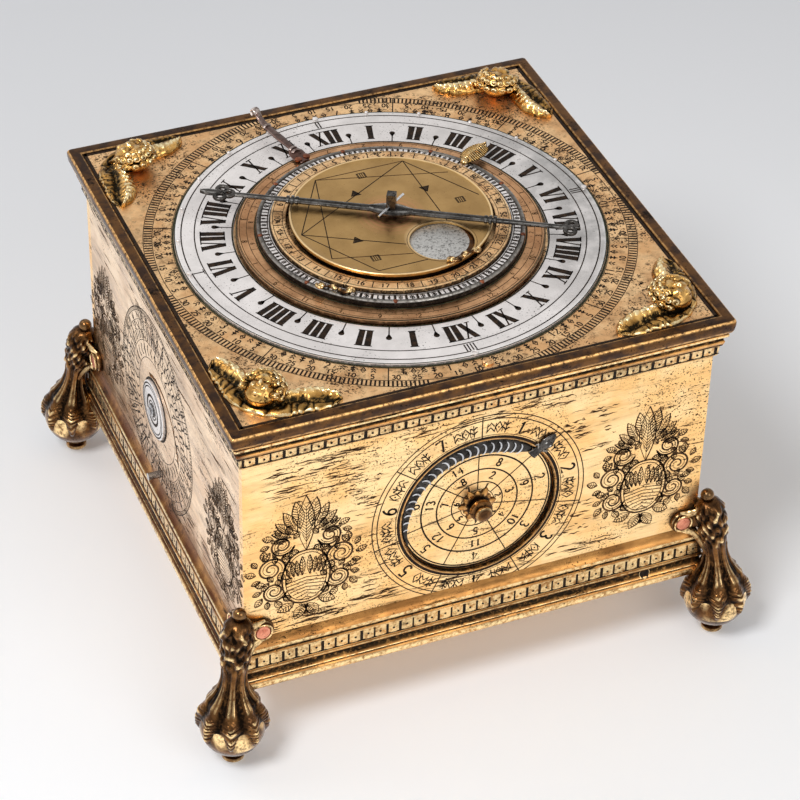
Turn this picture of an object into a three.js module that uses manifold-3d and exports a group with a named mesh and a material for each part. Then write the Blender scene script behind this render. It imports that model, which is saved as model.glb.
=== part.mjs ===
// Astronomical table clock. A square gilt case stands on four claw-and-ball feet. Its flat top
// carries a stack of turning dials, its front a weekday dial and its left side a small setting disc.
// A spring barrel, a fusee and a verge escapement stand between two plates inside the case.
// Millimetres, +Z up. The origin is on the floor under the middle of the case, and the front
// face with the weekday dial looks along -Y.
import * as THREE from 'three';
import { mergeVertices } from 'three/addons/utils/BufferGeometryUtils.js';
import Module from 'manifold-3d';

const wasm = await Module();
wasm.setup();

// Case, outside sizes
const caseWidth = 180;
const caseDepth = 176;
const caseTop = 138;
const caseUnder = 24.6;
const frameBand = 4.6;
const frameEdge = 5.2;
const frameCorner = 1.6;
const corniceHeight = 12.1;
const panelInset = 5.2;
const panelWall = 3;
const baseHeight = 20.4;
const baseOutset = 3.9;
const ledgeWidth = 3.1;

// Bottom cover with its screws and the hole for the winding key
const coverWall = 2.2;
const coverLip = 3.6;
const coverLift = 1.6;
const coverScrewRadius = 1;
const coverScrewHead = 1.8;
const coverScrewHeadHeight = 0.9;
const coverScrewReach = 5;
const coverScrewInset = 14;
const keyHoleRadius = 5.5;
const baseHoleRadius = 1.8;
const baseHoleX = 65;
const baseHoleShare = 0.27;

// Claw feet: a ball on a small pad, a leg in front of the case corner and two riveted ears
const ballRadius = 11.4;
const ballCentreZ = 15.6;
const padRadius = 4.1;
const footOut = 7.2;
const kneeRise = 13;
const kneeRadius = 6;
const clawRadius = 3.4;
const earRadius = 4.3;
const earWall = 2.4;
const earInset = 6;
const earRise = 4;
const budRadius = 2.9;
const rivetRadius = 2.6;
const rivetProud = 0.7;

// Fits
const seatGap = 0.3;
const runGap = 0.07;
const slipGap = 0.3;
const overrun = 2;
const weldGap = 0.0001;

// Dial plate, chapter ring and touch pins
const dialPlateDrop = 0.6;
const dialPlateWall = 1.6;
const dialPlateGap = 0.8;
const chapterMargin = 8.4;
const chapterBand = 20.5;
const chapterWall = 1;
const touchPinInset = 1.4;
const touchPinRadius = 0.65;
const touchPinHeight = 1.4;
const touchPinCount = 12;

// Turning rings above the dial plate, from the outermost inwards: gaps, bands and walls
const yearGap = 0.9;
const yearWall = 1.6;
const yearBand = 7;
const chapterGap = 0.8;
const ringGap = 0.3;
const sunWall = 2.1;
const sunBand = 5;
const ageBand = 5.3;
const ageWall = 1.5;
const phaseWall = 1.9;
const aspectGap = 1.1;
const aspectWall = 1.1;
const windowHub = 11.7;
const windowRim = 1.2;
const windowAngleDeg = -62.4;
const ringBevel = 0.7;

// Pipes that carry the rings, one inside the other, round the centre arbor
const arborRadius = 2;
const pipeWall = 0.95;

// Long steel hand on its square, with the taper pin above it
const handAngleDeg = 149.7;
const handGap = 0.8;
const handHeight = 1.8;
const handWidth = 1.7;
const handCollarInset = 0.8;
const handCollar = 3;
const handHubLength = 7;
const handHubWidth = 6.2;
const handRing = 2.2;
const handRingHole = 1.15;
const trefoilTipInset = 8;
const trefoilInset = 17.5;
const twinRingInset = 12.7;
const squareSide = 3.2;
const squareRise = 6;
const taperPinRadius = 0.5;
const taperPinLength = 16;
const taperPinAngleDeg = 36;
const taperPinLift = 0.55;

// Pointers on the rings
const dateArmAngleDeg = 106;
const dateArmFoot = 2.3;
const dateArmReach = 5.5;
const dateArmWidth = 3;
const dateArmWall = 1.1;
const dateArmLift = 0.9;
const dateArmCurl = 2.4;
const dateRivetRadius = 0.9;
const dateRivetProud = 0.5;
const sunPointerAngleDeg = 32.5;
const sunburstLong = 7.2;
const sunburstWide = 5.4;
const sunburstOut = 4.8;
const sunburstWall = 1;
const sunburstRays = 16;
const sunburstFoot = 3;
const sunRivetRadius = 0.9;
const sunRivetProud = 0.7;
const sunRivetCount = 9;
const scrollWidth = 3.6;
const scrollWall = 0.5;
const sunScrollWall = 2;
const sunScrollAngleDeg = -137;
const sunScrollSpanDeg = 15;
const moonScrollAngleDeg = -66.5;
const moonScrollSpanDeg = 15;

// Winged heads in the corners of the dial plate
const cherubIn = 14;
const cherubHead = 6.4;
const cherubHeight = 8.2;
const wingLength = 19;
const wingWidth = 4.6;
const wingHeight = 4.4;

// Weekday dial in the front panel, with the steel serpent whose head points at the day
const weekdayRise = 34.2;
const weekdayRadius = 28.1;
const weekdayWall = 1.2;
const weekdaySunk = 1.6;
const weekdayArborRadius = 2;
const weekdayKnobRadius = 3.6;
const weekdayKnobLength = 7;
const weekdayBridgeLength = 72;
const weekdayBridgeWidth = 11;
const weekdayBridgeWall = 2.6;
const weekdayStarRadius = 9;
const weekdayStarWall = 1.6;
const weekdayStarPoints = 7;
const weekdayStarBack = 1.2;
const serpentWidth = 6.4;
const serpentWall = 1.2;
const serpentTailDeg = 200;
const serpentNeckDeg = 50;
const serpentHeadDeg = 39;
const serpentHeadReach = 8.6;
const serpentHeadWidth = 3.2;
const serpentHeadLift = 1.2;
const serpentSteps = 18;

// Setting disc, curved slot and push pin on the left panel, by distance along Y and height
const settingY = 8;
const settingRise = 32;
const settingRadius = 11;
const settingWall = 1;
const settingArborRadius = 1.5;
const settingNutRadius = 4;
const settingNutWall = 2;
const slotWidth = 1.5;
const slotStart = 13;
const slotEnd = 25;
const slotStartDeg = 118;
const slotEndDeg = -16;
const slotSteps = 8;
const pushPinY = 7;
const pushPinRise = 3;
const pushPinRadius = 1.4;
const pushPinProud = 4.2;
const pushPinInside = 5;

// Movement: two plates, and the pillars of the lower one, which carry the other and the dial plate
const plateInset = 12;
const plateCorner = 12;
const plateWall = 2.5;
const movementRise = 19.6;
const plateGap = 47.5;
const pillarRadius = 3.2;
const pillarNeck = 2.6;
const pillarInset = 11;

// Spring barrel and fusee
const barrelRadius = 24;
const barrelHeight = 31;
const barrelWall = 1.6;
const barrelLow = 9;
const barrelArborRadius = 3;
const barrelInset = 29.8;
const springTurns = 3;
const springStrip = 1.1;
const springSteps = 12;
const fuseeLow = 8.4;
const fuseeHeight = 27;
const fuseeBottomRadius = 19.5;
const fuseeTopRadius = 9.5;
const fuseeGrooves = 4;
const fuseeGrooveDepth = 1.1;
const fuseeArborRadius = 2.4;
const fuseeSquare = 3.2;
const fuseeSquareLength = 14;
const fuseeDirectionDeg = 222;

// Wheels: teeth, leaves and tooth size (pitch diameter over teeth)
const greatTeeth = 48;
const greatLeaves = 6;
const greatModule = 1.25;
const greatLow = 4;
const wheelWall = 2;
const dayTeeth = 48;
const dayLeaves = 6;
const dayModule = 1.35;
const secondTeeth = 48;
const secondLeaves = 6;
const secondModule = 1;
const secondLow = 38;
const secondDirectionDeg = 100;
const contrateTeeth = 42;
const crownLeaves = 6;
const contrateModule = 0.9;
const contrateLow = 20;
const contrateRim = 2.6;
const contrateTooth = 2;
const contrateDirectionDeg = 20;
const crownTeeth = 21;
const crownRadius = 9;
const crownTooth = 2.2;
const crownRim = 1.5;
const crownDirectionDeg = 35;
const wheelArborRadius = 1.4;
const pinionLength = 6;
const sunTeeth = 57;
const moonTeeth = 59;
const idlerLeaves = 10;
const idlerModule = 0.9;
const idlerDirectionDeg = 60;
const idlerStudRadius = 1.5;
const dayWheelLow = 3.6;
const moonWheelLow = 10.6;
const sunWheelLow = 17.6;
const arborTail = 4;
const arborCollarRadius = 4;
const arborCollarWall = 2.2;

// Verge and balance under the lower plate
const vergeRadius = 1;
const palletReach = 3;
const palletWidth = 0.8;
const palletHeight = 3;
const palletGap = 0.5;
const palletSpreadDeg = 95;
const balanceRadius = 16;
const balanceRim = 1.8;
const balanceWall = 1.8;
const balanceDrop = 3.6;
const cockWall = 1.8;
const cockWidth = 8;
const cockClear = 3;
const cockDrop = 1.6;
const cockDirectionDeg = -36;
const potenceWall = 6.5;
const potenceWidth = 7;
const potenceGap = 2.3;

// Facets of round pieces, by size
const largeFacets = 40;
const middleFacets = 24;
const smallFacets = 20;
const plainFacets = 12;
const tinyFacets = 8;
const barFacets = 6;

const quarterTurn = Math.PI / 2;
const fullTurn = Math.PI * 2;
const degree = Math.PI / 180;

// Finishes
const finish = (color, roughness, metalness) => {
  return new THREE.MeshStandardMaterial({ color, roughness, metalness });
};
const gilt = finish(0xd9a957, 0.34, 1);
const paleGilt = finish(0xcbb08f, 0.38, 1);
const dialGilt = finish(0xc49a50, 0.36, 1);
const darkBronze = finish(0x4f3c2d, 0.45, 0.9);
const footBronze = finish(0x7a5a34, 0.4, 1);
const castGilt = finish(0xc08a35, 0.32, 1);
const silvered = finish(0xc9c8c4, 0.42, 1);
const darkSilver = finish(0x6f6c68, 0.45, 1);
const copperRed = finish(0xb97558, 0.45, 1);
const copperGilt = finish(0xc48f57, 0.33, 1);
const blackSteel = finish(0x35322f, 0.38, 1);
const brightSteel = finish(0x9c9b98, 0.3, 1);
const brownSteel = finish(0x54423a, 0.45, 1);
const movementBrass = finish(0xb8944d, 0.35, 1);

// Solid helpers

// Merge shared vertices, drop faces without area and make the faces point outwards.
function closed(geometry) {
  const bare = geometry.clone();
  bare.deleteAttribute('normal');
  bare.deleteAttribute('uv');
  const merged = mergeVertices(bare, weldGap);
  const place = merged.attributes.position;
  const kept = [];
  let volume = 0;
  const a = new THREE.Vector3();
  const b = new THREE.Vector3();
  const c = new THREE.Vector3();
  for (let i = 0; i < merged.index.count; i += 3) {
    const corners = [merged.index.getX(i), merged.index.getX(i + 1), merged.index.getX(i + 2)];
    if (new Set(corners).size === 3) {
      kept.push(...corners);
      a.fromBufferAttribute(place, corners[0]);
      b.fromBufferAttribute(place, corners[1]);
      c.fromBufferAttribute(place, corners[2]);
      volume += a.dot(b.cross(c));
    }
  }
  if (volume < 0) kept.reverse();
  merged.setIndex(kept);
  return merged;
}

function solidOf(geometry) {
  const shell = closed(geometry);
  const vertProperties = new Float32Array(shell.attributes.position.array);
  const triVerts = new Uint32Array(shell.index.array);
  return new wasm.Manifold(new wasm.Mesh({ numProp: 3, vertProperties, triVerts }));
}

function geometryOf(solid) {
  const mesh = solid.getMesh();
  const geometry = new THREE.BufferGeometry();
  geometry.setAttribute('position', new THREE.BufferAttribute(mesh.vertProperties, 3));
  geometry.setIndex(new THREE.BufferAttribute(mesh.triVerts, 1));
  return geometry;
}

const joined = (...pieces) => geometryOf(pieces.map(solidOf).reduce((sum, piece) => sum.add(piece)));
const cut = (base, ...tools) => {
  return geometryOf(tools.map(solidOf).reduce((left, tool) => left.subtract(tool), solidOf(base)));
};

// Points of a regular polygon.
function ringPoints(radius, facets, x = 0, y = 0, start = 0) {
  return Array.from({ length: facets }, (_, i) => {
    const angle = start + (i / facets) * fullTurn;
    return new THREE.Vector2(x + radius * Math.cos(angle), y + radius * Math.sin(angle));
  });
}

// An outline pushed up from one height to another, with holes.
function prism(outline, low, high, holes = []) {
  const shape = new THREE.Shape(outline);
  shape.holes = holes.map((hole) => new THREE.Path(hole));
  const settings = { depth: high - low, bevelEnabled: false, curveSegments: 1 };
  const geometry = new THREE.ExtrudeGeometry(shape, settings);
  return geometry.translate(0, 0, low);
}

function block(lowX, highX, lowY, highY, low, high) {
  const geometry = new THREE.BoxGeometry(highX - lowX, highY - lowY, high - low);
  return geometry.translate((lowX + highX) / 2, (lowY + highY) / 2, (low + high) / 2);
}

function post(radius, low, high, x = 0, y = 0, facets = smallFacets) {
  return prism(ringPoints(radius, facets, x, y), low, high);
}

// A profile of [radius, height] points turned round the Z axis.
function turned(profile, facets) {
  const points = profile.map(([radius, height]) => new THREE.Vector2(radius, height));
  return new THREE.LatheGeometry(points, facets).rotateX(quarterTurn);
}

// A flat ring or disc with a bevelled outer edge.
function bevelledRing(inner, outer, low, high, bevel, facets) {
  const profile = [[inner, low], [outer, low], [outer, high - bevel], [outer - bevel, high], [inner, high],
    [inner, low]];
  return turned(profile, facets);
}

// A row of stations [centre, radius], skinned with a round section that turns with the path. The
// section starts a little aside, so that no edge of it runs along a plane of symmetry.
const sectionShare = 0.27;

function skinned(stations, sides, flatten = 1) {
  const points = [];
  const faces = [];
  stations.forEach(([centre, radius], i) => {
    const before = stations[Math.max(i - 1, 0)][0];
    const after = stations[Math.min(i + 1, stations.length - 1)][0];
    const along = after.clone().sub(before).normalize();
    const aside = new THREE.Vector3(along.y, -along.x, 0);
    if (aside.length() < Number.EPSILON) aside.set(1, 0, 0);
    aside.normalize();
    const across = along.clone().cross(aside);
    for (let k = 0; k < sides; k += 1) {
      const angle = ((k + sectionShare) / sides) * fullTurn;
      const spot = centre.clone().addScaledVector(aside, radius * Math.cos(angle));
      points.push(...spot.addScaledVector(across, radius * flatten * Math.sin(angle)).toArray());
    }
  });
  const last = stations.length - 1;
  for (let i = 0; i < last; i += 1) {
    for (let k = 0; k < sides; k += 1) {
      const next = (k + 1) % sides;
      const here = [i * sides + k, i * sides + next, (i + 1) * sides + next, (i + 1) * sides + k];
      faces.push(here[0], here[1], here[2], here[0], here[2], here[3]);
    }
  }
  for (let k = 1; k < sides - 1; k += 1) {
    faces.push(0, k + 1, k);
    faces.push(last * sides, last * sides + k, last * sides + k + 1);
  }
  const geometry = new THREE.BufferGeometry();
  geometry.setAttribute('position', new THREE.Float32BufferAttribute(points, 3));
  geometry.setIndex(faces);
  return geometry;
}

// A closed outline of [inset, height] points carried round a rectangle with rounded corners.
function moulded(outline, halfX, halfY, corner) {
  const cornerSteps = 2;
  const rings = outline.map(([inset, height]) => {
    const radius = corner;
    const ring = [];
    for (let side = 0; side < 4; side += 1) {
      const signX = side === 0 || side === 3 ? 1 : -1;
      const signY = side < 2 ? 1 : -1;
      for (let k = 0; k <= cornerSteps; k += 1) {
        const angle = (side + k / cornerSteps) * quarterTurn;
        const x = signX * (halfX - inset - radius) + radius * Math.cos(angle);
        const y = signY * (halfY - inset - radius) + radius * Math.sin(angle);
        ring.push(x, y, height);
      }
    }
    return ring;
  });
  const around = rings[0].length / 3;
  const faces = [];
  for (let i = 0; i < rings.length; i += 1) {
    const other = (i + 1) % rings.length;
    for (let k = 0; k < around; k += 1) {
      const next = (k + 1) % around;
      const here = [i * around + k, i * around + next, other * around + next, other * around + k];
      faces.push(here[0], here[1], here[2], here[0], here[2], here[3]);
    }
  }
  const geometry = new THREE.BufferGeometry();
  geometry.setAttribute('position', new THREE.Float32BufferAttribute(rings.flat(), 3));
  geometry.setIndex(faces);
  return geometry;
}

// A rectangle with its corners cut off.
function eightSided(x, y, corner) {
  const places = [[x, y - corner], [x - corner, y], [corner - x, y], [-x, y - corner], [-x, corner - y],
    [corner - x, -y], [x - corner, -y], [x, corner - y]];
  return places.map(([u, v]) => new THREE.Vector2(u, v));
}

// Toothed wheels

const pitchRadius = (teeth, size) => (teeth * size) / 2;
const addendumShare = 0.8;
const dedendumShare = 1.3;

// The outline of a wheel whose first tooth points along the start angle. Each corner of a tooth is
// [-1 for the root or 1 for the tip, place along the pitch].
function toothed(teeth, size, start, toothShares, pitch = pitchRadius(teeth, size)) {
  const step = fullTurn / teeth;
  const root = pitch - size * dedendumShare;
  const tip = pitch + size * addendumShare;
  return Array.from({ length: teeth }, (_, i) => toothShares.map(([end, share]) => {
    const angle = start + (i + share) * step;
    const radius = end < 0 ? root : tip;
    return new THREE.Vector2(radius * Math.cos(angle), radius * Math.sin(angle));
  })).flat();
}

const wheelToothShares = [[-1, -0.5], [1, -0.07], [1, 0.07]];
const leafShares = [[-1, -0.2], [1, -0.06], [1, 0.06], [-1, 0.2]];
const wheelOutline = (teeth, size, start, pitch) => toothed(teeth, size, start, wheelToothShares, pitch);
const leafOutline = (leaves, size, start) => toothed(leaves, size, start, leafShares);

// A toothed plate with a hub hole and, when asked, four openings between its spokes.
function wheelPlate(outline, low, high, hole, rimInner, hubOuter) {
  const holes = [ringPoints(hole, hole < wheelWall ? plainFacets : smallFacets)];
  if (rimInner > 0) {
    const spokeShare = 0.16;
    const steps = 2;
    for (let i = 0; i < 4; i += 1) {
      const from = (i + spokeShare) * quarterTurn;
      const to = (i + 1 - spokeShare) * quarterTurn;
      const outer = Array.from({ length: steps + 1 }, (_, k) => from + ((to - from) * k) / steps);
      const rim = outer.map((angle) => {
        return new THREE.Vector2(rimInner * Math.cos(angle), rimInner * Math.sin(angle));
      });
      const hub = [to, from].map((angle) => {
        return new THREE.Vector2(hubOuter * Math.cos(angle), hubOuter * Math.sin(angle));
      });
      holes.push([...rim, ...hub]);
    }
  }
  return prism(outline, low, high, holes);
}

// A spoked wheel of the common thickness, with its rim and hub as shares of its pitch radius.
const rimShare = 0.83;
const hubShare = 0.24;

function spokedWheel(outline, low, hole, pitch) {
  return wheelPlate(outline, low, low + wheelWall, hole, pitch * rimShare, pitch * hubShare);
}

// A ring whose upper edge is cut into pointed teeth. Lean is the place of the point in each tooth.
function crownRing(inner, outer, low, root, tip, teeth, start, lean) {
  const points = [];
  const faces = [];
  const around = teeth * 2;
  for (let i = 0; i < around; i += 1) {
    const share = i % 2 === 0 ? 0 : lean;
    const angle = start + ((Math.floor(i / 2) + share) / teeth) * fullTurn;
    const height = i % 2 === 0 ? root : tip;
    const corners = [[outer, low], [outer, height], [inner, height], [inner, low]];
    corners.forEach(([radius, z]) => points.push(radius * Math.cos(angle), radius * Math.sin(angle), z));
  }
  for (let i = 0; i < around; i += 1) {
    const next = (i + 1) % around;
    for (let k = 0; k < 4; k += 1) {
      const up = (k + 1) % 4;
      faces.push(i * 4 + k, next * 4 + k, next * 4 + up, i * 4 + k, next * 4 + up, i * 4 + up);
    }
  }
  const geometry = new THREE.BufferGeometry();
  geometry.setAttribute('position', new THREE.Float32BufferAttribute(points, 3));
  geometry.setIndex(faces);
  return geometry;
}

// Derived places of the case
const halfX = caseWidth / 2;
const halfY = caseDepth / 2;
const bodyX = halfX - panelInset;
const bodyY = halfY - panelInset;
const frameUnder = caseTop - frameEdge;
const panelTop = frameUnder - corniceHeight;
const panelLow = caseUnder + baseHeight;
const dialPlateTop = caseTop - dialPlateDrop;
const dialPlateUnder = dialPlateTop - dialPlateWall;
const openX = halfX - frameBand;
const openY = halfY - frameBand;

const object = new THREE.Group();

function part(name, geometry, material, parent = object) {
  const mesh = new THREE.Mesh(closed(geometry), material);
  mesh.name = name;
  parent.add(mesh);
  return mesh;
}

// Case

// The flat top frame with its rounded outer edge.
function topFrame() {
  const edgeShares = [[0.16, 0], [0.03, 0.55], [0, 0.85], [0.1, 1]];
  const outer = edgeShares.map(([inset, rise]) => [inset * frameBand, frameUnder + rise * frameEdge]);
  return moulded([...outer, [frameBand, caseTop], [frameBand, frameUnder]], halfX, halfY, frameCorner);
}

// The gilt moulding under the frame: bead, hollow, fillet and dentil band over the panels. Its
// inner upstand carries the dial plate.
const corniceShares = [[0.16, 0], [0.17, 0.06], [0.29, 0.17], [0.4, 0.22], [0.47, 0.43], [0.62, 0.46],
  [0.68, 0.57], [0.78, 0.9], [0.96, 0.96], [0.96, 1]];

function cornice() {
  const outer = corniceShares.map(([inset, drop]) => {
    return [inset * panelInset, frameUnder - drop * corniceHeight];
  });
  const inner = panelInset + panelWall;
  const step = inner - ledgeWidth;
  const back = [[inner, panelTop], [inner, dialPlateUnder], [step, dialPlateUnder], [step, frameUnder]];
  const shoulder = [frameBand + slipGap / 2, frameUnder];
  return moulded([...outer.reverse(), shoulder, ...back.reverse()], halfX, halfY, frameCorner);
}

// The moulding round the foot of the case: torus, hollow, dentil band and the flare to the panels.
const baseShares = [[0.86, 0], [1, 0.05], [1, 0.14], [0.6, 0.24], [0.5, 0.3], [0.78, 0.39], [0.78, 0.42],
  [0.62, 0.44], [0.62, 0.67], [0.5, 0.69], [0.45, 0.8], [0.14, 0.9], [0.02, 1]];

function baseOutline() {
  return baseShares.map(([out, rise]) => [panelInset - out * baseOutset, caseUnder + rise * baseHeight]);
}

const coverTop = caseUnder + coverLift + coverWall;
const coverX = bodyX - panelWall + coverLip;
const coverY = bodyY - panelWall + coverLip;

function coverScrewPlaces() {
  const x = coverX - coverLip / 2;
  const y = coverY - coverScrewInset;
  return [[x, y], [-x, y], [-x, -y], [x, -y]];
}

function baseMoulding() {
  const inner = panelInset + panelWall;
  const rebate = inner - coverLip;
  const back = [[inner, panelLow], [inner, coverTop], [rebate, coverTop], [rebate, caseUnder]];
  const ring = moulded([...baseOutline(), ...back], halfX, halfY, frameCorner);
  const hole = post(baseHoleRadius, 0, inner + overrun, 0, 0, tinyFacets);
  hole.rotateX(quarterTurn);
  hole.translate(baseHoleX, inner - halfY + overrun, caseUnder + baseHoleShare * baseHeight);
  const blindTop = coverTop + coverScrewReach + seatGap;
  const blind = coverScrewPlaces().map(([x, y]) => {
    return post(coverScrewRadius + runGap, caseUnder, blindTop, x, y, tinyFacets);
  });
  return cut(ring, hole, ...blind);
}

// Walls of the case. An outline in along-the-face and height coordinates becomes a plate with its
// outer face at the given distance, turned to its side of the case.
function wall(outline, holes, thickness, distance, turn) {
  const plate = prism(outline, 0, thickness, holes);
  plate.rotateX(quarterTurn);
  plate.translate(0, thickness - distance, 0);
  return plate.rotateZ(turn);
}

function panelOutline(half) {
  const corners = [[-half, panelLow], [half, panelLow], [half, panelTop], [-half, panelTop]];
  return corners.map(([u, v]) => new THREE.Vector2(u, v));
}

const weekdayHole = weekdayRadius + slipGap;
const weekdayZ = panelLow + weekdayRise;
const settingZ = panelLow + settingRise;
const pushPinZ = panelLow + pushPinRise;
const settingU = -settingY;
const pushPinU = -pushPinY;

// The curved slot beside the setting disc: an arc whose radius grows as it runs down to the right.
function slotOutline() {
  const side = (offset) => Array.from({ length: slotSteps + 1 }, (_, i) => {
    const share = i / slotSteps;
    const angle = (slotStartDeg + (slotEndDeg - slotStartDeg) * share) * degree;
    const radius = slotStart + (slotEnd - slotStart) * share * share + offset;
    return new THREE.Vector2(settingU + radius * Math.cos(angle), settingZ + radius * Math.sin(angle));
  });
  return [...side(slotWidth / 2), ...side(-slotWidth / 2).reverse()];
}

function addCase() {
  part('top_frame', topFrame(), darkBronze);
  part('cornice', cornice(), gilt);
  part('base_moulding', baseMoulding(), gilt);
  const weekdayOpening = ringPoints(weekdayHole, largeFacets, 0, weekdayZ);
  const sideHalf = bodyY - panelWall;
  const settingHole = ringPoints(settingArborRadius + runGap, smallFacets, settingU, settingZ);
  const pushHole = ringPoints(pushPinRadius + runGap, smallFacets, pushPinU, pushPinZ);
  part('front_panel', wall(panelOutline(bodyX), [weekdayOpening], panelWall, bodyY, 0), gilt);
  part('back_panel', wall(panelOutline(bodyX), [], panelWall, bodyY, Math.PI), gilt);
  part('right_panel', wall(panelOutline(sideHalf), [], panelWall, bodyX, quarterTurn), gilt);
  const leftHoles = [settingHole, pushHole, slotOutline()];
  part('left_panel', wall(panelOutline(sideHalf), leftHoles, panelWall, bodyX, -quarterTurn), paleGilt);
}

// Movement centres
const polar = (radius, angleDeg) => {
  return [radius * Math.cos(angleDeg * degree), radius * Math.sin(angleDeg * degree)];
};
const sumOf = (a, b) => [a[0] + b[0], a[1] + b[1]];
const spread = (teeth, leaves, size) => pitchRadius(teeth, size) + pitchRadius(leaves, size);
const fuseeAt = polar(spread(dayTeeth, dayLeaves, dayModule), fuseeDirectionDeg);
const secondAt = sumOf(fuseeAt, polar(spread(greatTeeth, greatLeaves, greatModule), secondDirectionDeg));
const secondSpread = spread(secondTeeth, secondLeaves, secondModule);
const contrateAt = sumOf(secondAt, polar(secondSpread, contrateDirectionDeg));
const idlerSpread = spread(sunTeeth, idlerLeaves, idlerModule);
const idlerAt = polar(idlerSpread, idlerDirectionDeg);
const plateHalf = Math.min(bodyX, bodyY) - panelWall - plateInset;
const pillarAt = plateHalf - pillarInset;
const barrelX = pillarAt - barrelInset;
const barrelY = -barrelX;
const barrelAt = [barrelX, barrelY];
const lowerPlateZ = coverTop + movementRise;
const lowerTop = lowerPlateZ + plateWall;
const upperLow = lowerTop + plateGap;
const upperTop = upperLow + plateWall;
const contratePitch = pitchRadius(contrateTeeth, contrateModule);
const potenceOut = contratePitch + contrateRim / 2 + potenceGap;
const crownOut = potenceOut + potenceWall + potenceGap;
const vergeOut = crownOut + crownRim + crownTooth + palletGap + palletReach;
const vergeAt = sumOf(contrateAt, polar(vergeOut, crownDirectionDeg));

function addCover() {
  const outline = eightSided(coverX - seatGap, coverY - seatGap, frameCorner);
  const keyHole = ringPoints(keyHoleRadius, smallFacets, ...fuseeAt);
  const screwHoles = coverScrewPlaces().map(([x, y]) => {
    return ringPoints(coverScrewRadius + runGap, tinyFacets, x, y);
  });
  part('bottom_cover', prism(outline, coverTop - coverWall, coverTop, [keyHole, ...screwHoles]), gilt);
  const under = coverTop - coverWall;
  coverScrewPlaces().forEach(([x, y], i) => {
    const head = post(coverScrewHead, under - coverScrewHeadHeight, under, x, y, tinyFacets);
    const shankEnds = [under - coverScrewHeadHeight / 2, coverTop + coverScrewReach];
    const shank = post(coverScrewRadius, ...shankEnds, x, y, tinyFacets);
    part(`cover_screw_${i + 1}`, joined(head, shank), brightSteel);
  });
}

// Heights on the feet that follow the case
const kneeTop = panelLow + kneeRise;
const earZ = panelLow + earRise;

// Claw-and-ball foot for the corner in the +X +Y quarter, cut clear of the case behind it.
const legShares = [[0.42, 1, 0.45], [0.5, 0.93, 0.85], [0.58, 0.7, 1], [0.86, 0.22, 0.72], [1, -0.12, 1.1]];
const clawShares = [[0.25, 1.1, 0.8], [0.8, 0.8, 1], [1.1, 0.2, 1], [0.96, -0.52, 0.42]];
const earShares = [0.9, 1.3];

function footPlace(out, height, aside = 0) {
  const flat = Math.SQRT1_2;
  return new THREE.Vector3(bodyX + (out - aside) * flat, bodyY + (out + aside) * flat, height);
}

// A short round bar with one end on each of the two faces that meet at the case corner.
function onBothFaces(radius, depth, facets) {
  const bar = post(radius, -depth, depth, 0, 0, facets).rotateX(-quarterTurn);
  return [
    bar.clone().translate(bodyX - earInset, bodyY, earZ),
    bar.clone().rotateZ(-quarterTurn).translate(bodyX, bodyY - earInset, earZ),
  ];
}

// The room that the case needs inside a foot: the base moulding in broad steps, and the panels.
const roomShares = [[1, 0.22], [0.78, 0.22], [0.78, 0.44], [0.62, 0.7], [0.2, 0.9], [0, 1]];

function footClearance() {
  const inside = panelInset + panelWall;
  const low = caseUnder - seatGap;
  const steps = roomShares.map(([out, rise]) => {
    const above = rise < 1 ? seatGap : 0;
    return [panelInset - out * baseOutset - seatGap, caseUnder + rise * baseHeight + above];
  });
  const outline = [[steps[0][0], low], ...steps, [inside, panelLow], [inside, low]];
  const ring = moulded(outline, halfX, halfY, frameCorner);
  return [ring, block(-bodyX, bodyX, -bodyY, bodyY, low, panelTop)];
}

function foot() {
  const ballOut = footOut * Math.SQRT2;
  const ballTop = ballCentreZ + ballRadius;
  const leg = skinned(legShares.map(([out, rise, width]) => {
    return [footPlace(out * ballOut, ballTop + rise * (kneeTop - ballTop)), width * kneeRadius];
  }), tinyFacets);
  const ball = new THREE.SphereGeometry(ballRadius, tinyFacets, barFacets);
  ball.rotateX(quarterTurn).rotateZ(sectionShare);
  const centre = footPlace(ballOut, ballCentreZ);
  ball.translate(centre.x, centre.y, centre.z);
  const pad = post(padRadius, 0, ballCentreZ, centre.x, centre.y, tinyFacets);
  const claws = [0, 1, 2, 3].map((turn) => {
    const angle = (turn + 1 / 2) * quarterTurn;
    return skinned(clawShares.map(([reach, rise, width]) => {
      const out = ballOut + reach * ballRadius * Math.cos(angle);
      const aside = reach * ballRadius * Math.sin(angle);
      return [footPlace(out, ballCentreZ + rise * ballRadius, aside), width * clawRadius];
    }), barFacets);
  });
  const budAt = footPlace(budRadius, kneeTop + budRadius / 2);
  const bud = new THREE.SphereGeometry(budRadius, barFacets, barFacets);
  bud.translate(budAt.x, budAt.y, budAt.z);
  const earEnds = [[bodyX - earInset, bodyY + earWall / 2], [bodyX + earWall / 2, bodyY - earInset]];
  const ears = earEnds.map(([x, y]) => {
    return skinned([[new THREE.Vector3(x, y, earZ), earShares[0] * earWall],
      [footPlace(ballOut / 2, earZ), earShares[1] * earWall]], barFacets);
  });
  const bosses = onBothFaces(earRadius, earWall, tinyFacets + 1);
  const rivets = onBothFaces(rivetRadius, earWall + rivetProud, tinyFacets);
  return cut(joined(leg, ball, pad, ...claws, bud, ...ears, ...bosses, ...rivets), ...footClearance());
}

// The same foot mirrored to each corner of the case.
const corners = [['front_left', -1, -1], ['front_right', 1, -1], ['back_left', -1, 1], ['back_right', 1, 1]];

function mirrored(geometry, signX, signY) {
  return closed(geometry.clone().scale(signX, signY, 1));
}

function addFeet() {
  const shape = foot();
  corners.forEach(([name, signX, signY]) => part(`foot_${name}`, mirrored(shape, signX, signY), footBronze));
}

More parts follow.
